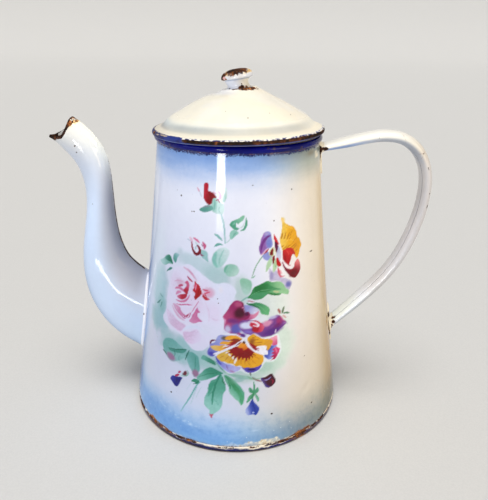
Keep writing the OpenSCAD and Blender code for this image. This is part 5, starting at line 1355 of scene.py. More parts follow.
def make_foot():
    outer = np.array([[72.2, 3.0], [73.2, 1.5], [74.1, 0.25], [74.5, 0.04], [75.2, 0.0], [76.2, 0.0], [76.75, 0.14], [77.0, 0.55],
                      [77.08, 1.3], [77.05, 2.2], [77.02, 3.0], [76.9, 3.55], [76.68, 3.95], [76.4, 4.12], [76.15, 4.1]])
    outer = resample(catmull(outer, 6, closed=False), 0.34)
    flat = np.stack([np.linspace(0, 71.6, 36), np.full(36, 3.0)], -1)
    flat[-3:, 1] = [3.0, 3.0, 3.0]
    back = np.array([[76.1, 3.0], [76.1, 1.0], [74.9, 1.0], [73.9, 2.5], [72.9, 4.0], [70, 4.0], [50, 4.0], [20, 4.0], [0, 4.0]])
    sec = np.concatenate([flat, outer, back])
    v, f, th = lathe(sec, 600, closed=False)
    r, z = np.hypot(v[:, 0], v[:, 1]), v[:, 2].copy()
    x = np.where(th > math.pi, th - 2 * math.pi, th) * 60
    patch = ring_patch(th, z * 2, 71, 0.045)
    big = ring_patch(th, z, 72, 0.22)
    navy = mix(np.tile((0.015, 0.03, 0.22), (len(v), 1)), (0.03, 0.075, 0.36), sstep(0.35, 0.65, big))
    cream = np.array([0.90, 0.875, 0.80])
    lip = sstep(2.0, 3.6, z + 3.2 * (patch - 0.5) + 0.9 * np.exp(-((x - 14) / 18.0) ** 2))
    paint = mix(navy, cream, np.where(r > 76.3, lip, 0))
    under = (r < 74.6) & (z < 3.6)
    speck = fbm(v[:, 0] / 3, v[:, 1] / 3, 3, 73, 4)
    paint = np.where(under[:, None], mix(np.tile((0.86, 0.86, 0.84), (len(v), 1)), (0.30, 0.34, 0.48), sstep(0.55, 0.68, speck)), paint)
    top = (z > 3.9) & (r < 74)
    paint = np.where(top[:, None], mix(np.tile((0.84, 0.80, 0.70), (len(v), 1)), (0.52, 0.36, 0.22), sstep(0.52, 0.72, speck)), paint)
    # the standing edge has lost its enamel, and the fold above it in places
    edge = np.exp(-(z / 0.9) ** 2) * (r > 73.4)
    wear = 0.10 + 0.62 * edge * (0.55 + 0.7 * patch) + 0.34 * np.exp(-((z - 3.3) / 1.1) ** 2) * (r > 76.2) * (0.35 + 1.3 * patch)
    wear += 0.16 * (r > 76.2) * sstep(0.52, 0.7, big)
    wear = np.where(under & (r > 40), np.maximum(wear, 0.16 + 0.42 * sstep(0.50, 0.72, fbm(v[:, 0] / 9, v[:, 1] / 9, 1, 74, 4))), wear)
    wear = np.where(under & (r > 70), wear + 0.24, wear)
    for cx, w, a in ((-48, 5, 0.3), (-38, 5, 0.22), (41, 4, 0.34), (-25, 6, 0.15), (56, 8, 0.2), (-66, 8, 0.2), (130, 12, 0.2), (-140, 14, 0.2)):
        wear += a * np.exp(-((x - cx) / w) ** 2) * (r > 75.5) * (0.3 + 1.2 * patch)
    rusty = 0.42 + 0.6 * (ring_patch(th, z, 75, 0.10) - 0.5) + 0.25 * np.exp(-((x - 41) / 7) ** 2) + 0.2 * np.exp(-((x + 46) / 8) ** 2)
    rusty += 0.5 * sstep(0.56, 0.66, ring_patch(th, z * 2, 77, 0.06)) - 0.12
    dr = -0.14 * sstep(0.48, 0.62, wear) * (r > 76) + 0.06 * (ring_patch(th, z * 0, 76, 0.2) - 0.5) * (r > 76)
    k = (r + dr) / np.maximum(r, 1e-6)
    v[:, 0] *= k
    v[:, 1] *= k
    v[:, 2] = np.maximum(v[:, 2], 0.02)
    build("foot_ring", v, f, "pot", mat_trim, paint, np.clip(wear, 0, 1), np.clip(rusty, 0, 1), gone=("base_disc",))


make_foot()


# ---------------------------------------------------------------- spout
A_SP = np.linspace(0, 1, 61)
A_SP = math.pi * (A_SP - 0.10 * np.sin(2 * math.pi * A_SP))
SP_LEN = np.linalg.norm(np.diff(np.stack([-(spout_line[:, 0] + spout_line[:, 2]) / 2, (spout_line[:, 1] + spout_line[:, 3]) / 2], -1),
                                axis=0), axis=1).sum()


def spout_skin(s, a, t=0.0):
    """Spout skin with a raised, slightly wavy seam where the two halves meet."""
    from_seam = np.minimum(np.abs(a), math.pi - np.abs(a))
    ridge = 0.26 * np.exp(-(from_seam / 0.085) ** 2) - 0.20 * np.exp(-(from_seam / 0.022) ** 2)
    inner_side = np.abs(a) < math.pi / 2
    ridge = ridge * np.where(inner_side, 1.0, 0.35) * sstep(1.0, 0.93, s)
    if np.isscalar(t) and t == 0.0:
        p = spout_point(s, a, -ridge)
        q = spout_point(s, a, 0.0)
        w = 0.22 * (fbm(p[..., 0] / 16, p[..., 1] / 16, p[..., 2] / 16, 81, 2) - 0.5)
        d = q - spout_point(s, a, 1.0)
        return p + d / np.maximum(np.linalg.norm(d, axis=-1), 1e-6)[..., None] * w[..., None]
    return spout_point(s, a, t)


def mouth_distance(v, cut):
    """How far each vertex is from the cut of the beak, seen from the side."""
    best = np.full(len(v), 1e9)
    for (ax, az), (bx, bz) in zip(cut[:-1], cut[1:]):
        ex, ez = bx - ax, bz - az
        t = np.clip(((v[:, 0] - ax) * ex + (v[:, 2] - az) * ez) / (ex * ex + ez * ez), 0, 1)
        best = np.minimum(best, np.hypot(v[:, 0] - ax - t * ex, v[:, 2] - az - t * ez))
    return best


def make_spout(name, sign, gone):
    a = A_SP * sign if sign < 0 else A_SP
    rows = 380
    s0 = cross_wall(spout_point, a, 0.0, 0.35, -0.6)
    cut = MOUTH if sign < 0 else MOUTH_FAR
    s1 = mouth_end(a, cut)
    # the cut edge is uneven where the enamel has broken away
    s1 = s1 - (0.5 * fbm(a * 6, 0 * a + sign, 0 * a, 82, 3)) / SP_LEN
    v, f, s, u = tube_half(spout_skin, a, s0, s1, rows, 1.15)
    k = len(a)
    m = 2 * k
    su = np.concatenate([s, s[:, ::-1]], 1).ravel()
    au = np.tile(np.concatenate([a, a[::-1]]), rows)
    inside = np.tile(np.r_[np.zeros(k, bool), np.ones(k, bool)], rows)
    end = np.tile(np.concatenate([s1, s1[::-1]]), rows)
    dm = (end - su) * SP_LEN
    # round the lip: the last millimetre of both skins draws together
    pair = v.reshape(rows, m, 3)
    mid = (pair[:, :k] + pair[:, k:][:, ::-1]) / 2
    draw = (1 - sstep(0.0, 1.0, dm.reshape(rows, m)[:, :k])) * 0.55
    pair[:, :k] += (mid - pair[:, :k]) * draw[..., None]
    pair[:, k:] += (mid[:, ::-1] - pair[:, k:]) * draw[:, ::-1][..., None]
    v = pair.reshape(-1, 3)
    aa = np.abs(au)
    n1 = shade_noise(v, 1.6, 83)
    n2 = shade_noise(v, 4.5, 84)
    n0 = shade_noise(v, 0.9, 85)
    # painted light and shade: blue-white low on the outer side, cream towards the mouth where the warm light falls, a
    # mauve shade near the root on the pot side
    paint = np.tile((0.835, 0.865, 0.93), (len(v), 1))
    paint = mix(paint, (0.935, 0.925, 0.885), sstep(0.60, 0.95, su - 0.10 * sstep(1.4, 2.4, aa)) * 0.9)
    paint = mix(paint, (0.83, 0.90, 0.95), (1 - sstep(0.0, 0.20, su)) * sstep(1.2, 2.6, aa) * 0.5)
    paint = mix(paint, (0.90, 0.87, 0.90), np.exp(-((su - 0.16) / 0.12) ** 2) * (1 - sstep(0.8, 1.6, aa)) * 0.5)
    paint = np.where(inside[:, None], mix(paint, (0.66, 0.55, 0.40), sstep(0.35, 0.75, n2)[:] * 0.5), paint)
    # rust: the lip, its upper corner, the beak, and the seam on the pot side
    dm = mouth_distance(v, cut)
    corner = np.exp(-((v[:, 2] - 206.5) / 4.2) ** 2)
    tip = sstep(-122.6, -124.4, v[:, 0])
    reach = 1.7 + 4.0 * corner * (1 - 0.45 * sstep(1.9, 3.0, aa)) - 0.55 * np.exp(-((v[:, 0] + 119.5) / 2.4) ** 2) + 3.0 * tip
    edge = reach * (0.30 + 1.4 * n1) + 1.2 * (n2 - 0.5) + 1.5 * (n0 - 0.5)
    wear = 0.08 + 0.28 * np.exp(-(dm / (reach * 1.4)) ** 2) + 0.62 * sstep(edge + 0.45, edge - 0.45, dm)
    # cream flecks left in the rusty corner, and a worn streak from it down the pot side
    wear -= 0.64 * sstep(0.47, 0.57, n0) * corner * sstep(0.7, 1.3, dm) * ~inside
    streak = np.exp(-(aa / 0.50) ** 2) * sstep(10.0, 3.0, dm) * ~inside
    wear = np.maximum(wear, streak * (0.30 + 0.75 * (n1 - 0.35) + 0.35 * (n0 - 0.5)))
    if sign > 0:  # inside, the far lip keeps a strip of its white glaze below the corner
        kept = np.exp(-((v[:, 0] + 120.0) / 3.3) ** 4) * np.where(inside, sstep(2.7, 1.9, dm) * sstep(0.1, 0.5, dm), 0.0)
        wear = wear * (1 - 0.85 * kept)
        paint = mix(paint, (0.98, 0.97, 0.95), kept)
    else:
        kept = 0.0 * dm
    seam_in = np.exp(-(aa / 0.075) ** 2)
    rust_run = (0.42 + 0.62 * sstep(0.75, 0.35, su)) * sstep(0.05, 0.09, su)
    wear = np.maximum(wear, np.exp(-(aa / (0.07 + 0.07 * n2)) ** 2) * (0.42 + 0.60 * n1) * rust_run)
    wear = np.maximum(wear, np.exp(-((aa - math.pi) / 0.05) ** 2) * (0.10 + 0.35 * n2))
    wear = np.where(inside, np.maximum(wear, (0.22 + 0.75 * sstep(14, 2.5, dm) * (0.5 + n2)) * (1 - 0.85 * kept)), wear)
    rusty = 0.22 + 1.9 * corner * (n1 - 0.28) * sstep(0.4, 2.2, dm) - 0.3 * tip + 0.7 * (n2 - 0.5) + 0.6 * (n1 - 0.5)
    rusty = np.where(inside, 0.20 + 0.5 * (n2 - 0.5), rusty)
    paint = mix(paint, (0.95, 0.72, 0.40), corner * np.exp(-((dm - edge - 0.3) / 1.0) ** 2) * ~inside * 0.85)
    # painted shade on the pot side of the spout
    pot_side_shade = (1 - sstep(0.45, 1.55, aa)) * sstep(0.03, 0.10, su) * (1 - sstep(0.48, 0.70, su))
    paint = mix(paint, (0.64, 0.645, 0.69), pot_side_shade * 0.70)
    # painted shade: the outside darker, more so towards the root
    paint = paint * np.where(inside, 1, 0.95 - 0.06 * (1 - sstep(0.25, 0.6, su)))[:, None]
    # painted shade on the flanks of the upper spout
    paint = paint * (1 - 0.07 * sstep(0.5, 0.7, su) * sstep(1.2, 1.9, aa) * ~inside)[:, None]
    shade = sstep(2.15, 2.75, aa) * (1 - sstep(0.25, 0.5, su)) * ~inside
    paint = paint * (1 - shade[:, None] * np.array([0.17, 0.13, 0.08]))
    # painted cool light on the flanks and outer side of the lower spout
    cool_light = (1 - sstep(0.45, 0.8, su)) * sstep(0.8, 1.8, aa) * ~inside
    paint = mix(paint, paint * np.array([0.99, 1.035, 1.075]), cool_light)
    rusty = np.where(seam_in > 0.2, 0.30 + 0.4 * (n2 - 0.5), rusty)
    wear = np.where(inside, wear, spots(v, wear, ((-107.5, -9.5, 189.8, 0.56), (-107.1, -9.3, 185.4, 0.46), (-99.5, -9.4, 150, 0.36), (-104, -8, 118, 0.35),
                                                  (-92, -13, 88, 0.35), (-100, 9.6, 176, 0.7), (-99, 10.6, 132, 0.6), (-88, 14, 84, 0.8))))
    build(name, v, f, "pot", mat_spout, paint, np.clip(wear, 0, 1), np.clip(rusty, 0, 1), gone=gone)


make_spout("spout_near", -1, ("spout_near_half",))
make_spout("spout_far", 1, ("spout_far_half",))


def weld_ring(fn, a, s_cross, ds, d_wall, d_tube, base, thick, n=13):
    """A fillet between a tube and the wall, all round the tube. Vertices are one loop for each angle."""
    p = fn(s_cross, a)
    ahead = fn(s_cross + ds, a)
    t = ahead - p
    t /= np.linalg.norm(t, axis=1)[:, None]
    c = np.roll(p, -1, 0) - np.roll(p, 1, 0)
    c /= np.linalg.norm(c, axis=1)[:, None]
    nrm = np.stack([p[:, 0], p[:, 1], np.zeros(len(p))], -1)
    nrm /= np.linalg.norm(nrm, axis=1)[:, None]
    nrm[:, 2] = 0.146 - 0.00024 * p[:, 2]
    nrm /= np.linalg.norm(nrm, axis=1)[:, None]
    w = np.cross(c, nrm)
    w /= np.linalg.norm(w, axis=1)[:, None]
    w *= np.sign(np.einsum("ij,ij->i", w, p - p.mean(0)))[:, None]
    ph = np.arctan2(p[:, 2] - p[:, 2].mean(), p[:, 1])
    dw = d_wall * (1 + 0.22 * (fbm(np.cos(ph) * 2.5, np.sin(ph) * 2.5, 0 * ph, 91, 2) - 0.5) * 2)

    def on_wall(q, lift):
        k = (wall_r(q[:, 2]) + lift) / np.hypot(q[:, 0], q[:, 1])
        return np.stack([q[:, 0] * k, q[:, 1] * k, q[:, 2]], -1)

    a_pt = p + w * dw[:, None]
    rim = [on_wall(a_pt, base - 0.6), on_wall(a_pt, base + 0.1), on_wall(a_pt - w * 0.12, base + thick * 0.75),
           on_wall(a_pt - w * 0.42, base + thick)]
    start = on_wall(a_pt - w * 0.42, base + thick)
    away = nrm * 0.0 + w
    b_pt = p + t * d_tube + np.cross(np.cross(t, w), t) * 0.10
    ctrl = on_wall(p + w * 0.35, base + thick) + t * 0.25
    curve = []
    for u in np.linspace(0, 1, n)[1:]:
        curve.append(start * (1 - u) ** 2 + ctrl * 2 * u * (1 - u) + b_pt * u * u)
    tail = [b_pt - w * 0.7, on_wall(p - w * 0.6, base - 0.6)]
    loop = np.stack(rim + curve + tail, 1)
    m = loop.shape[1]
    f = quads(len(a), m, True, True)
    u = np.tile(np.arange(m), len(a))
    return loop.reshape(-1, 3), f, u, np.repeat(np.arange(len(a)), m)


def make_spout_root():
    a = np.linspace(0, 2 * math.pi, 241)[:-1]
    a = a - 0.0
    s0 = cross_wall(spout_point, a, 0.0, 0.35, 0.16)
    v, f, u, row = weld_ring(spout_point, a, s0, 0.012, 1.35, 1.9, 0.16, 0.42)
    n = shade_noise(v, 2.2, 95)
    paint = np.tile((0.89, 0.90, 0.945), (len(v), 1))
    paint = mix(paint, (0.90, 0.88, 0.88), sstep(0.4, 0.7, shade_noise(v, 9, 96)) * 0.5)
    wear = 0.10 + 0.26 * (u < 5) * n * (0.4 + n)
    wear += 0.36 * sstep(92, 99, v[:, 2]) * n
    wear = spots(v, wear, ((-67.4, -6.4, 94.2, 0.9), (-68.3, -15.2, 68.3, 0.75), (-67.6, -15.0, 64.2, 0.45), (-66.5, 14.8, 60, 0.8),
                           (-66.8, 13.0, 84, 0.6)))
    build("spout_root", v, f, "pot", mat_spout, paint, np.clip(wear, 0, 1), 0.25 + 0.5 * n, gone=("spout_flange",))


make_spout_root()


# ---------------------------------------------------------------- handle
SPLIT = math.radians(146)


def handle_skin(s, a, t=0.0):
    """Rounded strap. The channel's edges turn in a little where they meet the closing strip."""
    if np.isscalar(t) and t == 0.0:
        fold = np.exp(-((np.abs(np.abs(a) - SPLIT)) / 0.09) ** 2) * 0.45
        p = handle_point(s, a, fold)
        w = 0.16 * (fbm(p[..., 0] / 14, p[..., 1] / 14, p[..., 2] / 14, 101, 2) - 0.5)
        d = p - handle_point(s, a, 1.0)
        return p + d / np.maximum(np.linalg.norm(d, axis=-1), 1e-6)[..., None] * w[..., None]
    return handle_point(s, a, t)


def handle_cross(a, d=0.5):
    s0 = cross_wall(handle_point, a, 0.0, 0.30, d)
    s1 = cross_wall(handle_point, a, 0.75, 1.0, d, leaving=False)
    return s0, s1


H_LEN = np.linalg.norm(np.diff(handle_line[:, :2], axis=0), axis=1).sum()


JOINT_CHIPS = ((68.4, -6.6, 67.6, 1.5), (69.2, -6.2, 68.7, 1.4), (72.1, -3.8, 63.9, 1.1), (73.0, -4.6, 65.2, 1.0), (72.3, -6.9, 62.2, 1.2), (73.6, -6.6, 62.4, 0.9),
               (67.2, -9.0, 61.6, 1.0), (67.2, -9.0, 59.9, 0.9), (71.2, -7.4, 60.0, 0.9), (70.4, -7.9, 58.4, 0.9), (69.6, -7.9, 56.8, 0.9), (74.0, -6.8, 61.6, 0.5), (70.6, 6.6, 66.0, 0.9), (72.4, 5.4, 60.8, 0.8),
               (57.6, -7.4, 190.6, 1.5), (55.9, -7.9, 191.2, 0.9), (55.6, -7.9, 193.8, 0.6), (56.4, 7.0, 191.6, 1.0))


def handle_marks_and_shade(v, s, a, inside):
    aa = np.abs(a)
    n1, n2 = shade_noise(v, 1.5, 102), shade_noise(v, 5, 103)
    seam = np.exp(-((aa - SPLIT) / 0.055) ** 2)
    run = sstep(0.30, 0.36, s) * (1 - sstep(0.56, 0.66, s))
    wear = 0.08 + seam * (0.18 + 0.36 * n1 + (0.50 * n1 + 0.18) * run)
    wear = spots(v, wear, JOINT_CHIPS)
    paint = np.tile((0.915, 0.905, 0.885), (len(v), 1))
    # painted shade: the upright part greyer; painted light: the top run brighter cream
    paint = mix(paint, (0.84, 0.845, 0.885), sstep(0.30, 0.62, s) * (1 - sstep(0.62, 0.85, s)) * 0.55)
    paint = mix(paint, (0.95, 0.935, 0.88), (1 - sstep(0.28, 0.42, s)) * 0.7)
    # painted light and shade: the top run a little brighter, the rest darker, warm in the middle and cool on the lower
    # leg
    tint = mix(np.tile((1.03, 1.035, 1.05), (len(v), 1)), (0.90, 0.865, 0.815), sstep(0.25, 0.38, s))
    paint = paint * mix(tint, (0.90, 0.92, 0.965), sstep(0.72, 0.86, s))
    # painted shade, step by step along the handle
    paint = paint * np.stack([np.interp(s, (0.20, 0.29, 0.39, 0.48, 0.62, 0.74, 0.88), row) for row in (
        (1, 0.96, 0.99, 0.965, 0.96, 0.96, 1), (1, 0.965, 0.985, 0.955, 0.95, 0.95, 1), (1, 0.975, 0.99, 0.95, 0.95, 0.95, 1))], -1)
    # painted shade on the outer edge of the upright and lower leg
    outer = (1 - sstep(0.45, 1.30, aa)) * sstep(0.30, 0.42, s) * (1 - sstep(0.88, 0.97, s))
    paint = paint * (1 - outer[:, None] * (np.array([0.05, 0.10, 0.18]) + sstep(0.52, 0.64, s)[:, None] * np.array([0.04, 0.03, 0.0])))
    # painted light on the inner side of the lower leg
    paint = paint * (1 + 0.20 * sstep(1.60, 2.05, aa) * sstep(0.48, 0.60, s))[:, None]
    # painted cool light on the lower leg
    paint = paint * mix(np.ones((len(v), 3)), (0.975, 1.0, 1.03), sstep(0.56, 0.72, s))
    # painted shade on the outer side of the lower leg
    paint = paint * (1 - 0.13 * sstep(0.62, 0.76, s) * (1 - sstep(0.97, 1.0, s)) * (1 - sstep(1.15, 1.75, aa)))[:, None]
    # painted blue shade under the top run, by the joint
    paint = mix(paint, (0.44, 0.56, 0.80), sstep(1.50, 1.90, aa) * (1 - sstep(0.10, 0.24, s)) * 0.85)
    # painted grey shade under the top bend
    paint = mix(paint, (0.56, 0.60, 0.68), sstep(1.40, 2.00, aa) * sstep(0.12, 0.22, s) * (1 - sstep(0.34, 0.42, s)) * 0.75)
    # painted grey shade over the upright part
    paint = mix(paint, (0.80, 0.82, 0.88), sstep(0.30, 0.42, s) * (1 - sstep(0.70, 0.85, s)) * 0.55)
    paint = mix(paint, (0.26, 0.21, 0.18), np.clip(np.exp(-((aa - SPLIT) / 0.040) ** 2), 0, 1) * (0.50 + 0.5 * n2))
    rusty = 0.30 + 0.5 * (n2 - 0.3)
    for cs, ca, sg, r in ((0.395, 1.35, -1, 0.5), (0.400, 1.30, -1, 0.4), (0.47, 1.05, -1, 0.6), (0.505, 0.95, -1, 0.7), (0.51, 1.02, -1, 0.5),
                          (0.20, 1.6, -1, 0.3), (0.64, 1.2, -1, 0.35), (0.44, 0.8, 1, 0.7), (0.58, 1.1, 1, 0.6)):
        d = np.hypot((s - cs) * H_LEN, (a - ca * sg) * 6)
        wear = np.maximum(wear, 0.93 - 0.46 * d / r)
        rusty = np.where(d < 2 * r, 0.12, rusty)
    # fine craze lines at the top bend
    for cs, slope in ((0.275, 0.016), (0.348, -0.010), (0.352, 0.012)):
        d = np.abs((s - cs) - slope * (aa - 1.3)) * H_LEN
        wear = np.maximum(wear, np.where((aa > 0.7) & (aa < 2.0), 0.50 - d * 0.45, 0))
    return np.clip(paint, 0, 1), np.clip(np.where(inside, 0.2, wear), 0, 1), np.clip(rusty, 0, 1)


def make_handle(name, a, rows, t, gone, recess=0.0):
    s0, s1 = handle_cross(a, -0.3)
    fn = handle_skin if recess == 0 else (lambda s, b, q=0.0: handle_point(s, b, recess + q))
    v, f, s, u = tube_half(fn, a, s0, s1, rows, t)
    k = len(a)
    su = np.concatenate([s, s[:, ::-1]], 1).ravel()
    au = np.tile(np.concatenate([a, a[::-1]]), rows)
    inside = np.tile(np.r_[np.zeros(k, bool), np.ones(k, bool)], rows)
    paint, wear, rusty = handle_marks_and_shade(v, su, au, inside)
    build(name, v, f, "pot", mat_handle, paint, wear, rusty, gone=gone)


make_handle("handle_bow", np.linspace(-SPLIT, SPLIT, 64), 300, 1.0, ("handle_channel",))
make_handle("handle_lining", np.linspace(SPLIT + 0.012, 2 * math.pi - SPLIT - 0.012, 18), 300, 0.8, ("handle_strip",), recess=0.16)


def pad(name, y_half, z_lo, z_hi, inside_by, thick, gone, ring_at, marks):
    """A plate lying on the wall under one end of the handle, with the weld round that end."""
    ny, nz = 56, 78
    ys, zs = np.linspace(-y_half, y_half, ny), np.linspace(z_lo, z_hi, nz)
    yy, zz = (g.ravel() for g in np.meshgrid(ys, zs, indexing="ij"))
    d = inside_by(yy, zz)
    wob = 0.5 * (fbm(yy / 3, zz / 3, 7.0, 111, 2) - 0.5)
    h = -0.25 + (thick + 0.25) * sstep(-0.25, 1.15, d + wob)
    r = wall_r(zz)
    ph = yy / r
    rr = r + 0.16 + h
    top = np.stack([rr * np.cos(ph), rr * np.sin(ph), zz], -1)
    low = np.stack([(r - 0.5) * np.cos(ph), (r - 0.5) * np.sin(ph), zz], -1)
    f_top = quads(ny, nz)
    f_low = quads(ny, nz, start=ny * nz)[:, ::-1]
    border = ([i * nz for i in range(ny)] + [(ny - 1) * nz + j for j in range(1, nz)]
              + [i * nz + nz - 1 for i in range(ny - 2, -1, -1)] + [j for j in range(nz - 2, 0, -1)])
    b = np.array(border)
    b2 = np.roll(b, -1)
    sides = np.stack([b2, b, b + ny * nz, b2 + ny * nz], -1)
    v = np.concatenate([top, low])
    f = np.concatenate([f_top, f_low, sides])
    dd = np.r_[d, d * 0 - 1]
    a = np.linspace(0, 2 * math.pi, 97)[:-1]
    s0, s1 = handle_cross(a, 0.16 + thick)
    if ring_at == "top":
        v2, f2, u2, row2 = weld_ring(handle_point, a, s0, 0.006, 1.5, 2.0, 0.16 + thick - 0.1, 0.35, 9)
    else:
        v2, f2, u2, row2 = weld_ring(handle_point, a, s1, -0.006, 2.3, 3.4, 0.16 + thick - 0.1, 0.62, 11)
    f = np.concatenate([f, f2 + len(v)])
    n0 = len(v)
    v = np.concatenate([v, v2])
    n1, n2 = shade_noise(v, 1.7, 112), shade_noise(v, 5, 113)
    paint = np.tile((0.95, 0.915, 0.83), (len(v), 1))
    wear = np.r_[0.10 + 0.22 * np.exp(-((dd - 0.3) / 0.8) ** 2) * (0.2 + n1[:n0]), 0.14 + 0.30 * n1[n0:] * (0.2 + n2[n0:])]
    wear = spots(v, marks(v, wear, n1), JOINT_CHIPS)
    build(name, v, f, "pot", mat_handle, paint, np.clip(wear, 0, 1), np.clip(0.35 + 0.5 * (n2 - 0.4), 0, 1), gone=gone)


def round_box(y, z):
    qy, qz = np.abs(y) - 8.5 + 4.5, np.abs(z - 184.5) - 11.5 + 4.5
    return -(np.hypot(np.maximum(qy, 0), np.maximum(qz, 0)) + np.minimum(np.maximum(qy, qz), 0) - 4.5)


def tapered(y, z):
    """Distance inside a long drop: a 7 mm circle above, a 3.6 mm circle below."""
    y = np.abs(y)
    t = np.clip((68 - z) / 21.5, 0, 1)
    r = 7 + (3.6 - 7) * t
    return r - np.hypot(y, np.where(z > 68, z - 68, np.where(z < 46.5, 46.5 - z, 0)))


def top_marks(v, wear, n):
    line = np.exp(-((v[:, 1] + 8.5) / 0.55) ** 2) * sstep(181, 184, v[:, 2]) * (1 - sstep(193.5, 195, v[:, 2]))
    return wear + 0.62 * line * (0.45 + n) + 0.26 * np.exp(-((v[:, 1] - 8.5) / 0.6) ** 2) * n


def tail_marks(v, wear, n):
    edge = np.exp(-((v[:, 1] + 5.0 + (60 - v[:, 2]) * -0.10) / 0.8) ** 2) * np.exp(-((v[:, 2] - 54) / 6.0) ** 2)
    return wear + 0.36 * edge * (0.3 + n)


pad("handle_top_pad", 9.4, 172, 195.6, round_box, 0.95, ("handle_top_plate",), "top", top_marks)
pad("handle_tail_pad", 7.8, 42.2, 76, tapered, 0.95, ("handle_tail_plate",), "low", tail_marks)


# ---------------------------------------------------------------- lid
def lid_lean(v):
    """The loose lid sits a little askew: lower over the spout, higher over the handle."""
    out = np.array(v, float)
    out[:, 2] += 0.10 + 0.0225 * out[:, 0]
    return out


def clear_bead(v):
    """Nothing of the lid goes into the pot's rim."""
    r = np.hypot(v[:, 0], v[:, 1])
    dr, dz = r - RIM_R, v[:, 2] - RIM_Z
    d = np.hypot(dr, dz)
    k = np.where(d < 2.16, 2.16 / np.maximum(d, 1e-6), 1.0)
    nr = RIM_R + dr * k
    out = v.copy()
    out[:, 0] *= nr / np.maximum(r, 1e-6)
    out[:, 1] *= nr / np.maximum(r, 1e-6)
    out[:, 2] = RIM_Z + dz * k
    return out


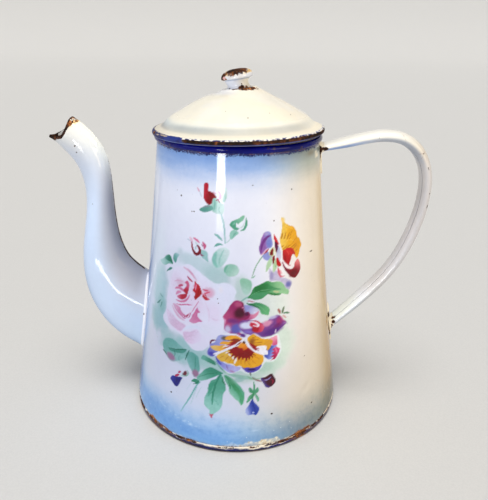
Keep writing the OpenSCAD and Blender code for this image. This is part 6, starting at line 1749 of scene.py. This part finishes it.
def make_lid():
    curve = catmull(LID_KEYS, 8, closed=False)
    boss = np.array([[2.0, 227.6], [6, 227.62], [9.4, 227.6], [10.6, 227.52], [11.2, 227.35]])
    boss = catmull(boss, 5, closed=False)
    outer = np.concatenate([boss, curve[3:]])
    # stop where the sheet runs on to the roll
    keep = np.hypot(outer[:, 0] - ROLL_R, outer[:, 1] - ROLL_Z) > ROLL + 0.02
    outer = resample(outer[keep], 0.62)
    roll = arc(ROLL_R, ROLL_Z, ROLL, 112, -165, 40)
    under = curve[curve[:, 0] < 52.3][::-6].copy()
    under[:, 1] -= 1.25
    under = np.concatenate([[[52.75, 202.2], [52.4, 202.75]], under, [[10.6, 226.35], [6, 226.35], [2.0, 226.35]]])
    sec = np.concatenate([outer, roll, under])
    v, f, th = lathe(sec, 620)
    r, z = np.hypot(v[:, 0], v[:, 1]), v[:, 2].copy()
    x = np.where(th > math.pi, th - 2 * math.pi, th) * 60
    m = len(sec)
    idx = np.tile(np.arange(m), 620)
    is_roll = (idx >= len(outer)) & (idx < len(outer) + len(roll))
    is_under = idx >= len(outer) + len(roll)
    ang = np.where(is_roll, np.degrees(np.arctan2(z - ROLL_Z, r - ROLL_R)), np.where(r > 53, 100, 130))
    # hand-spun sheet: the dome is a little uneven
    waves = 0.45 * (fbm(v[:, 0] / 30, v[:, 1] / 30, 0.3, 121, 2) - 0.5) * sstep(14, 26, r) * (1 - sstep(44, 53, r))
    waves = waves + 0.34 * (ring_patch(th, r / 3, 129, 0.10) - 0.5) * sstep(40, 47, r) * (1 - sstep(50, 53, r))
    dent = -0.35 * np.exp(-(((v[:, 0] + 36) / 9) ** 2 + ((v[:, 1] + 26) / 9) ** 2))
    n_fine = ring_patch(th, z * 2, 122, 0.035)
    n_mid = ring_patch(th, z * 0.8, 123, 0.10)
    n_big = ring_patch(th, 0 * z, 124, 0.35)
    cream = np.tile((0.97, 0.945, 0.875), (len(v), 1))
    cloud = fbm(v[:, 0] / 14, v[:, 1] / 14, 0.7, 125, 3)
    paint = mix(cream, (0.955, 0.945, 0.91), sstep(0.45, 0.7, cloud) * 0.7)
    # painted shade in the hollow of the flare, stronger on the left
    flare_shade = np.exp(-((r - 47.6) / 2.6) ** 2) * (0.5 + 0.8 * n_big)
    paint = mix(paint, (0.80, 0.835, 0.845), np.clip(flare_shade * (0.42 + 0.58 * sstep(28, -52, v[:, 0])), 0, 0.85))
    # painted shade on the flare in front
    paint = paint * (1 - 0.15 * sstep(45.0, 48.0, r) * (1 - sstep(51.5, 53.5, r)) * sstep(-10, -36, v[:, 1]))[:, None]
    # painted shade on the flare on the far left
    paint = paint * (1 - sstep(46, 50, r)[:, None] * sstep(-38, -50, v[:, 0])[:, None] * np.array([0.25, 0.26, 0.25]))
    # painted blue-grey shade left of the boss
    paint = mix(paint, (0.90, 0.905, 0.93), (1 - sstep(13.5, 19, r)) * sstep(5, -9, v[:, 0]) * 0.7)
    paint = mix(paint, (0.955, 0.925, 0.85), sstep(49.5, 51.5, r) * (ang > 95) * 0.7)
    # blue roll: solid on the left, and from the front to the right its crown has chipped to rust with a ragged white upper edge
    run = sstep(-37, -30, x + 5 * (n_mid - 0.5)) * (1 - sstep(92, 112, np.abs(x)) * 0.55) * (1 - sstep(160, 182, x))
    blue = mix(np.tile((0.02, 0.06, 0.34), (len(v), 1)), (0.11, 0.19, 0.50), sstep(0.44, 0.70, n_mid))
    limit = 62 + 60 * (n_fine - 0.5) + 20 * (n_mid - 0.5) + 20 * (1 - run)
    soft = sstep(limit + 6, limit - 6, ang) * (r > 52.2)
    paint = mix(paint, blue, soft)
    gap = (ring_patch(th, z * 3, 126, 0.026) > 0.51) & (ang > 28) & (ang < 95) & is_roll & (run > 0.5)
    paint = np.where(gap[:, None], np.array([0.95, 0.93, 0.89]), paint)
    streak = sstep(0.50, 0.62, ring_patch(th, z * 2, 128, 0.02)) * np.exp(-((ang - 74) / 8.0) ** 2) * run
    paint = mix(paint, (0.20, 0.28, 0.62), streak * 0.8)
    glint = np.exp(-((ang + 45) / 6.5) ** 2) * sstep(0.30, 0.55, n_mid + 0.12)
    paint = mix(paint, mix(np.tile((0.66, 0.74, 0.88), (len(v), 1)), (0.66, 0.65, 0.67), sstep(-40, -20, x)), glint * is_roll * 0.9)
    tan = np.exp(-(((x + 53) / 5.5) ** 2)) * np.exp(-((ang - 46) / 18) ** 2) + 0.8 * np.exp(-((x + 62) / 3.0) ** 2 - ((ang - 30) / 16) ** 2)
    paint = mix(paint, (0.80, 0.72, 0.60), sstep(0.35, 0.6, tan) * 0.9)
    paint = np.where((is_under & (r < 53))[:, None], np.array([0.90, 0.875, 0.80]), paint)
    line = sstep(-34, -14, ang) * (1 - sstep(34 + 34 * (n_fine - 0.5), 48 + 34 * (n_fine - 0.5), ang)) * is_roll
    wear = 0.12 + line * run * (0.50 + 0.42 * (n_fine - 0.35) + 0.40 * (n_mid - 0.40))
    wear += 0.42 * np.exp(-((x + 54) / 8.5) ** 2) * np.exp(-((ang - 34) / 8.0) ** 2) * (0.5 + n_fine) * is_roll
    wear += 0.62 * np.exp(-((x + 70) / 3.5) ** 2) * np.exp(-((ang - 30) / 40.0) ** 2) * is_roll
    wear += 0.20 * is_roll * (ang < -100) * (0.3 + n_mid)
    wear = np.where(is_under, 0.16 + 0.2 * n_mid + 0.25 * sstep(51.5, 52.6, r), wear)
    # worn boss, in front on the right, and a few specks
    for px, py, rx, ry, a in ((-0.8, -9.8, 2.4, 1.1, 1.0), (2.2, -9.9, 3.2, 1.6, 1.05), (5.4, -8.8, 3.4, 1.6, 1.0), (9.2, -6.6, 3.2, 1.1, 0.84), (11.8, -4.6, 1.6, 1.0, 0.72),
                              (-8.6, -6.6, 1.6, 0.8, 0.55), (0, 10.6, 6, 1.2, 0.8)):
        d = np.hypot((v[:, 0] - px) / rx, (v[:, 1] - py) / ry)
        wear = np.maximum(wear, np.where(is_under, 0, a - 0.42 * d + 0.3 * (fbm(v[:, 0] / 1.6, v[:, 1] / 1.6, 2, 127, 3) - 0.5)))
    for px, py, rr in ((7.5, -38.5, 0.5), (-23, -41, 0.35), (20, -30, 0.35), (-6, -33, 0.3), (33, -22, 0.4), (-30, 20, 0.6), (22, 35, 0.5)):
        d = np.hypot(v[:, 0] - px, v[:, 1] - py)
        wear = np.maximum(wear, np.where(is_under, 0, 0.9 - 0.46 * d / rr))
    rusty = 0.08 + 1.3 * (n_mid - 0.45) + 1.9 * (n_fine - 0.5) + 0.30 * (r < 16) + 0.6 * np.exp(-((x + 70) / 4) ** 2)
    tip = 0.10 * v[:, 0] * (1 - sstep(10.5, 24, r))
    v[:, 2] += tip
    v[:, 2] += np.where(is_roll, 0, waves + dent)
    push = (0.10 * (n_big - 0.5) - 0.16 * sstep(0.5, 0.62, wear)) * (r > 50)
    v[:, 0] += np.sin(th) * push
    v[:, 1] -= np.cos(th) * push
    v = clear_bead(lid_lean(v))
    build("lid_shell", v, f, "lid", mat_lid, np.clip(paint, 0, 1), np.clip(wear, 0, 1), np.clip(rusty, 0, 1), gone=("lid_dome",))


make_lid()


def make_lid_inside():
    wire = arc(ROLL_R, ROLL_Z, 0.95, 0, 360, 17)[:-1]
    v, f, th = lathe(wire, 240)
    build("lid_edge_core", lid_lean(v), f, "lid", mat_wire, gone=("lid_edge_wire",))
    # collar: flange under the dome, then the sleeve, its lower edge drawn in
    curve = catmull(LID_KEYS, 8, closed=False)
    fl = curve[(curve[:, 0] > 44.4) & (curve[:, 0] < 49.0)][::2].copy()
    top = fl - [0, 1.27]
    low = fl[::-1] - [0, 2.3]
    outer = np.array([[49.9, 204.2], [50.35, 203.4], [50.4, 202], [50.4, 197], [50.4, 192.2], [50.1, 190.8], [49.55, 189.7], [49.0, 189.5]])
    inner = np.array([[48.6, 189.7], [49.1, 190.7], [49.5, 192.2], [49.5, 198], [49.5, 202.5], [49.2, 203.4]])
    sec = resample(np.concatenate([top, catmull(outer, 4, closed=False), catmull(inner, 4, closed=False), low, top[:1]]), 0.55)[:-1]
    v, f, th = lathe(sec, 360)
    r, z = np.hypot(v[:, 0], v[:, 1]), v[:, 2]
    n1, n2 = ring_patch(th, z, 131, 0.04), ring_patch(th, z, 132, 0.2)
    paint = mix(np.tile((0.90, 0.875, 0.80), (len(v), 1)), (0.74, 0.64, 0.48), sstep(0.45, 0.75, n2) * 0.5 + (1 - sstep(189.5, 193, z)) * 0.3)
    wear = 0.14 + 0.42 * (1 - sstep(189.4, 191.6, z)) * (0.4 + n1) + 0.25 * sstep(0.6, 0.75, n1)
    build("lid_sleeve", lid_lean(v), f, "lid", mat_lid, paint, np.clip(wear, 0, 1), np.clip(0.35 + 0.5 * (n2 - 0.4), 0, 1),
          gone=("lid_collar",))


make_lid_inside()


# ---------------------------------------------------------------- knob
def knob_place(v):
    """The knob is riveted a little off centre and leans, and its stampings are lumpy."""
    p = np.array(v, float)
    z0 = 227.6
    n = fbm(p[:, 0] / 6.5, p[:, 1] / 6.5, p[:, 2] / 6.5, 141, 2) - 0.5
    r = np.hypot(p[:, 0], p[:, 1])
    k = 1 + 0.055 * n * sstep(3, 8, r)
    p[:, 0] *= k
    p[:, 1] *= k
    h = np.clip((p[:, 2] - z0) / 6.0, 0, 1)
    ang = math.radians(2.0)
    c, s = math.cos(ang), math.sin(ang)
    x, z = p[:, 0], p[:, 2] - 234.0
    xr, zr = c * x - s * z, s * x + c * z
    w = sstep(0.0, 0.8, h)
    p[:, 0] = x * (1 - w) + xr * w - 1.25 * sstep(0.0, 0.7, h)
    p[:, 2] = 234.0 + z * (1 - w) + zr * w - 0.35 * w + 0.10 * p[:, 0]
    return lid_lean(p)


def make_knob():
    cap_line = catmull([[0, 239.6], [3.5, 239.45], [6.4, 238.9], [8.7, 237.7], [9.85, 236.3], [10.15, 235.0], [10.0, 234.1], [9.3, 233.65]], 9, closed=False)
    cap_line[0, 0] = 0.0
    inner = np.array([[7.4, 233.7], [7.6, 235.3], [7.0, 236.8], [5.4, 238.2], [2.5, 238.6], [0, 238.7]])
    sec = np.concatenate([cap_line, inner])
    v, f, th = lathe(sec, 220, closed=False)
    r, z = np.hypot(v[:, 0], v[:, 1]), v[:, 2].copy()
    n1 = shade_noise(v, 2.2, 142, 4)
    n2 = shade_noise(v, 5.0, 143, 3)
    inside = np.tile(np.arange(len(sec)) >= len(cap_line), 220)
    paint = mix(np.tile((0.93, 0.915, 0.875), (len(v), 1)), (0.86, 0.88, 0.93), sstep(237.5, 235.2, z))
    ends = np.clip(np.exp(-((v[:, 0] + 5.8) / 2.0) ** 2) + sstep(3.4, 5.6, v[:, 0]), 0, 1) * sstep(235.8, 237.2, z)
    paint = mix(paint, (0.86, 0.68, 0.38), sstep(0.48, 0.62, n1) * ends * 0.75)
    wear = np.full(len(v), 0.14)
    for px, py, pz, rx, a in ((0.2, -4.6, 239, 5.6, 1.1), (-0.6, -7.0, 238.3, 3.0, 1.0), (-5.0, -5.0, 238.6, 2.6, 0.9), (4.4, -3.4, 239, 3.4, 0.90), (-9.2, -3.2, 236.0, 3.2, 1.05),
                              (-7.8, -6.0, 236.9, 1.8, 0.95), (-8.4, -5.2, 234.2, 2.0, 0.95), (-6.4, -7.4, 234.4, 1.1, 0.8), (8.6, -4.8, 237, 0.9, 0.66), (6.9, -6.2, 238, 0.7, 0.7), (0, 4, 239, 4.5, 0.9), (6.5, 6.5, 237.5, 2.2, 0.8),
                              (-4, 8.6, 236.8, 2.0, 0.8)):
        d = np.sqrt((v[:, 0] - px) ** 2 + (v[:, 1] - py) ** 2 + ((z - pz) * 1.3) ** 2) / rx
        wear = np.maximum(wear, a - 0.04 - 0.50 * d + 0.26 * (n1 - 0.5))
    pink = np.exp(-(((v[:, 0] + 7.9) / 1.3) ** 2 + ((v[:, 1] + 6.3) / 1.5) ** 2 + ((z - 235.2) / 0.95) ** 2))
    paint = mix(paint, (0.88, 0.60, 0.58), np.clip(pink * 1.2, 0, 0.95))
    wear = wear - 0.50 * sstep(0.30, 0.7, pink)
    paint = mix(paint, (0.87, 0.70, 0.42), np.exp(-((wear - 0.38) / 0.09) ** 2) * (0.12 + 0.6 * ends) * ~inside)
    rusty = 0.22 + 0.9 * (n2 - 0.5) + 0.9 * (n1 - 0.5) + 0.35 * np.exp(-((wear - 0.52) / 0.10) ** 2) - 0.10 * sstep(-7, -9, v[:, 0])
    v = knob_place(v)
    v[:, 2] -= 0.12 * sstep(0.5, 0.65, wear) * ~inside
    build("knob_top", v, f, "lid", mat_knob, np.clip(paint, 0, 1), np.clip(wear, 0, 1), np.clip(rusty, 0, 1), gone=("knob_cap",))
    # neck: a seam roll under the cap, the waist, and a small foot on the boss
    neck = catmull([[8.5, 234.2], [8.4, 233.7], [7.95, 233.1], [7.5, 232.4], [7.15, 231.6], [6.95, 230.4], [7.0, 229.2], [7.3, 228.3],
                    [7.9, 227.75], [8.3, 227.6]], 8, closed=False)
    inner = np.array([[5.6, 227.7], [2.1, 227.7], [2.1, 228.5], [5.0, 228.6], [5.6, 229.6], [5.8, 230.8], [6.3, 232.2], [7.0, 233.3], [7.3, 234.1]])
    sec = np.concatenate([neck, inner])
    v, f, th = lathe(sec, 220)
    z = v[:, 2].copy()
    n1, n2 = shade_noise(v, 1.8, 144, 4), shade_noise(v, 5.0, 145, 3)
    # painted light: blue-white on the left, a warm cream highlight on the right
    paint = mix(np.tile((0.87, 0.885, 0.935), (len(v), 1)), (0.92, 0.90, 0.85), sstep(-1, 6, v[:, 0]))
    paint = mix(paint, (0.55, 0.62, 0.74), np.exp(-((z - 233.5) / 0.5) ** 2) * 0.75)
    wear = 0.12 + 0.16 * np.exp(-((z - 233.6) / 0.7) ** 2) * (0.3 + n1) + 0.34 * np.exp(-((z - 227.7) / 0.5) ** 2) * (0.3 + n1) * (0.2 + sstep(-1, 4, v[:, 0]))
    wear = spots(v, wear, ((1.2, -7.6, 227.9, 1.2), (2.8, -7.1, 228.3, 1.3), (3.0, -6.7, 230.2, 0.6), (5.4, -5.6, 228.0, 1.0), (6.6, -3.4, 230.6, 0.45), (-5.6, -5.4, 228.0, 0.5)), 0.9)
    v = knob_place(v)
    build("knob_stem", v, f, "lid", mat_knob, np.clip(paint, 0, 1), np.clip(wear, 0, 1), np.clip(0.4 + 0.6 * (n2 - 0.5), 0, 1),
          gone=("knob_neck",))


make_knob()


# ---------------------------------------------------------------- studio
def make_floor():
    me = bpy.data.meshes.new("floor")
    n, half = 91, 18.0
    g = np.linspace(-half, half, n)
    x, y = np.meshgrid(g, g, indexing="ij")
    # flat round the object, rising far away so that it fills the view
    far = np.hypot(x, y).ravel()
    v = np.stack([x.ravel(), y.ravel(), -0.0004 + 9.0 * sstep(7.0, 17.6, far) ** 2], -1)
    me.from_pydata(v.tolist(), [], quads(n, n).tolist())
    me.polygons.foreach_set("use_smooth", [True] * len(me.polygons))
    me.update()
    ob = bpy.data.objects.new("floor", me)
    scene.collection.objects.link(ob)
    m = bpy.data.materials.new("paper_floor")
    m.use_nodes = True
    nt = m.node_tree
    bsdf = nt.nodes["Principled BSDF"]
    coords = nt.nodes.new("ShaderNodeTexCoord").outputs["Object"]
    grain = noise(nt, coords, 900, 3, 0.6)
    nt.links.new(ramp_out(nt, grain, [(0.3, (0.685, 0.68, 0.67)), (0.7, (0.73, 0.723, 0.71))]), bsdf.inputs["Base Color"])
    bsdf.inputs["Roughness"].default_value = 0.85
    bsdf.inputs["Specular IOR Level"].default_value = 0.2
    bump = nt.nodes.new("ShaderNodeBump")
    bump.inputs["Strength"].default_value = 0.15
    bump.inputs["Distance"].default_value = 0.0002
    nt.links.new(grain, bump.inputs["Height"])
    nt.links.new(bump.outputs["Normal"], bsdf.inputs["Normal"])
    me.materials.append(m)


make_floor()

world = bpy.data.worlds.new("studio")
scene.world = world
world.use_nodes = True
wt = world.node_tree
bg = wt.nodes["Background"]
gen = wt.nodes.new("ShaderNodeTexCoord").outputs["Generated"]
wx, wy, wz = height_of(wt, gen)
warm_side = smooth_range(wt, wx, -0.1, 0.8)
up = smooth_range(wt, wz, 0.02, 0.75)
sky = mix_colour(wt, warm_side, (0.56, 0.59, 0.66), (0.58, 0.53, 0.46))
sky = mix_colour(wt, up, sky, (0.95, 0.95, 0.97))
wt.links.new(sky, bg.inputs["Color"])
bg.inputs["Strength"].default_value = 0.235


def lamp(name, kind, at, aim, power, colour):
    d = bpy.data.lights.new(name, kind)
    d.energy, d.color = power, colour
    ob = bpy.data.objects.new(name, d)
    scene.collection.objects.link(ob)
    ob.location = at
    ob.rotation_euler = (Vector(aim) - Vector(at)).to_track_quat("-Z", "Y").to_euler()
    return ob, d


def softbox(name, at, aim, w, h, watts, colour, lights=None):
    """lights names the start of the pieces it reaches; None is everything."""
    ob, d = lamp(name, "AREA", at, aim, watts, colour)
    d.shape, d.size, d.size_y = "RECTANGLE", w, h
    ob.visible_camera = False
    if lights is not None:
        if lights not in groups:
            groups[lights] = bpy.data.collections.new("lit_" + (lights or "object"))
            for o in scene.objects:
                if o.type == "MESH" and o.name != "floor" and o.name.startswith(lights):
                    groups[lights].objects.link(o)
        ob.light_linking.receiver_collection = groups[lights]


groups = {}


# a large soft source above and in front, a window to the left of the camera, a broad cool key and a warm fill
d = lamp("soft_top", "SUN", (0.0, -0.24, 1.0), (0, 0, 0), 2.3, (1.0, 0.985, 0.95))[1]
d.angle = math.radians(38)
softbox("window", (-0.357, -1.044, 0.195), (-0.007, -0.054, 0.19), 0.20, 0.20, 3.6, (0.97, 0.985, 1.0), "")
softbox("window_low", (-0.357, -1.044, 0.048), (-0.007, -0.054, 0.05), 0.18, 0.09, 0.28, (0.90, 0.95, 1.0), "")
softbox("low_strip", (-0.167, -0.295, 0.016), (-0.085, -0.014, 0.085), 0.215, 0.016, 0.13, (0.97, 0.985, 1.0), "spout")
softbox("spout_top", (0.35, 0.10, 0.60), (-0.10, 0.0, 0.18), 0.25, 0.25, 3.2, (1.0, 0.93, 0.62), "spout")
softbox("key_left", (-1.15, -0.75, 0.42), (0, 0, 0.12), 0.8, 0.6, 1.9, (0.78, 0.88, 1.0), "")
softbox("fill_right", (1.10, -0.70, 0.50), (0, 0, 0.14), 0.7, 0.7, 6.2, (1.0, 0.80, 0.52), "")
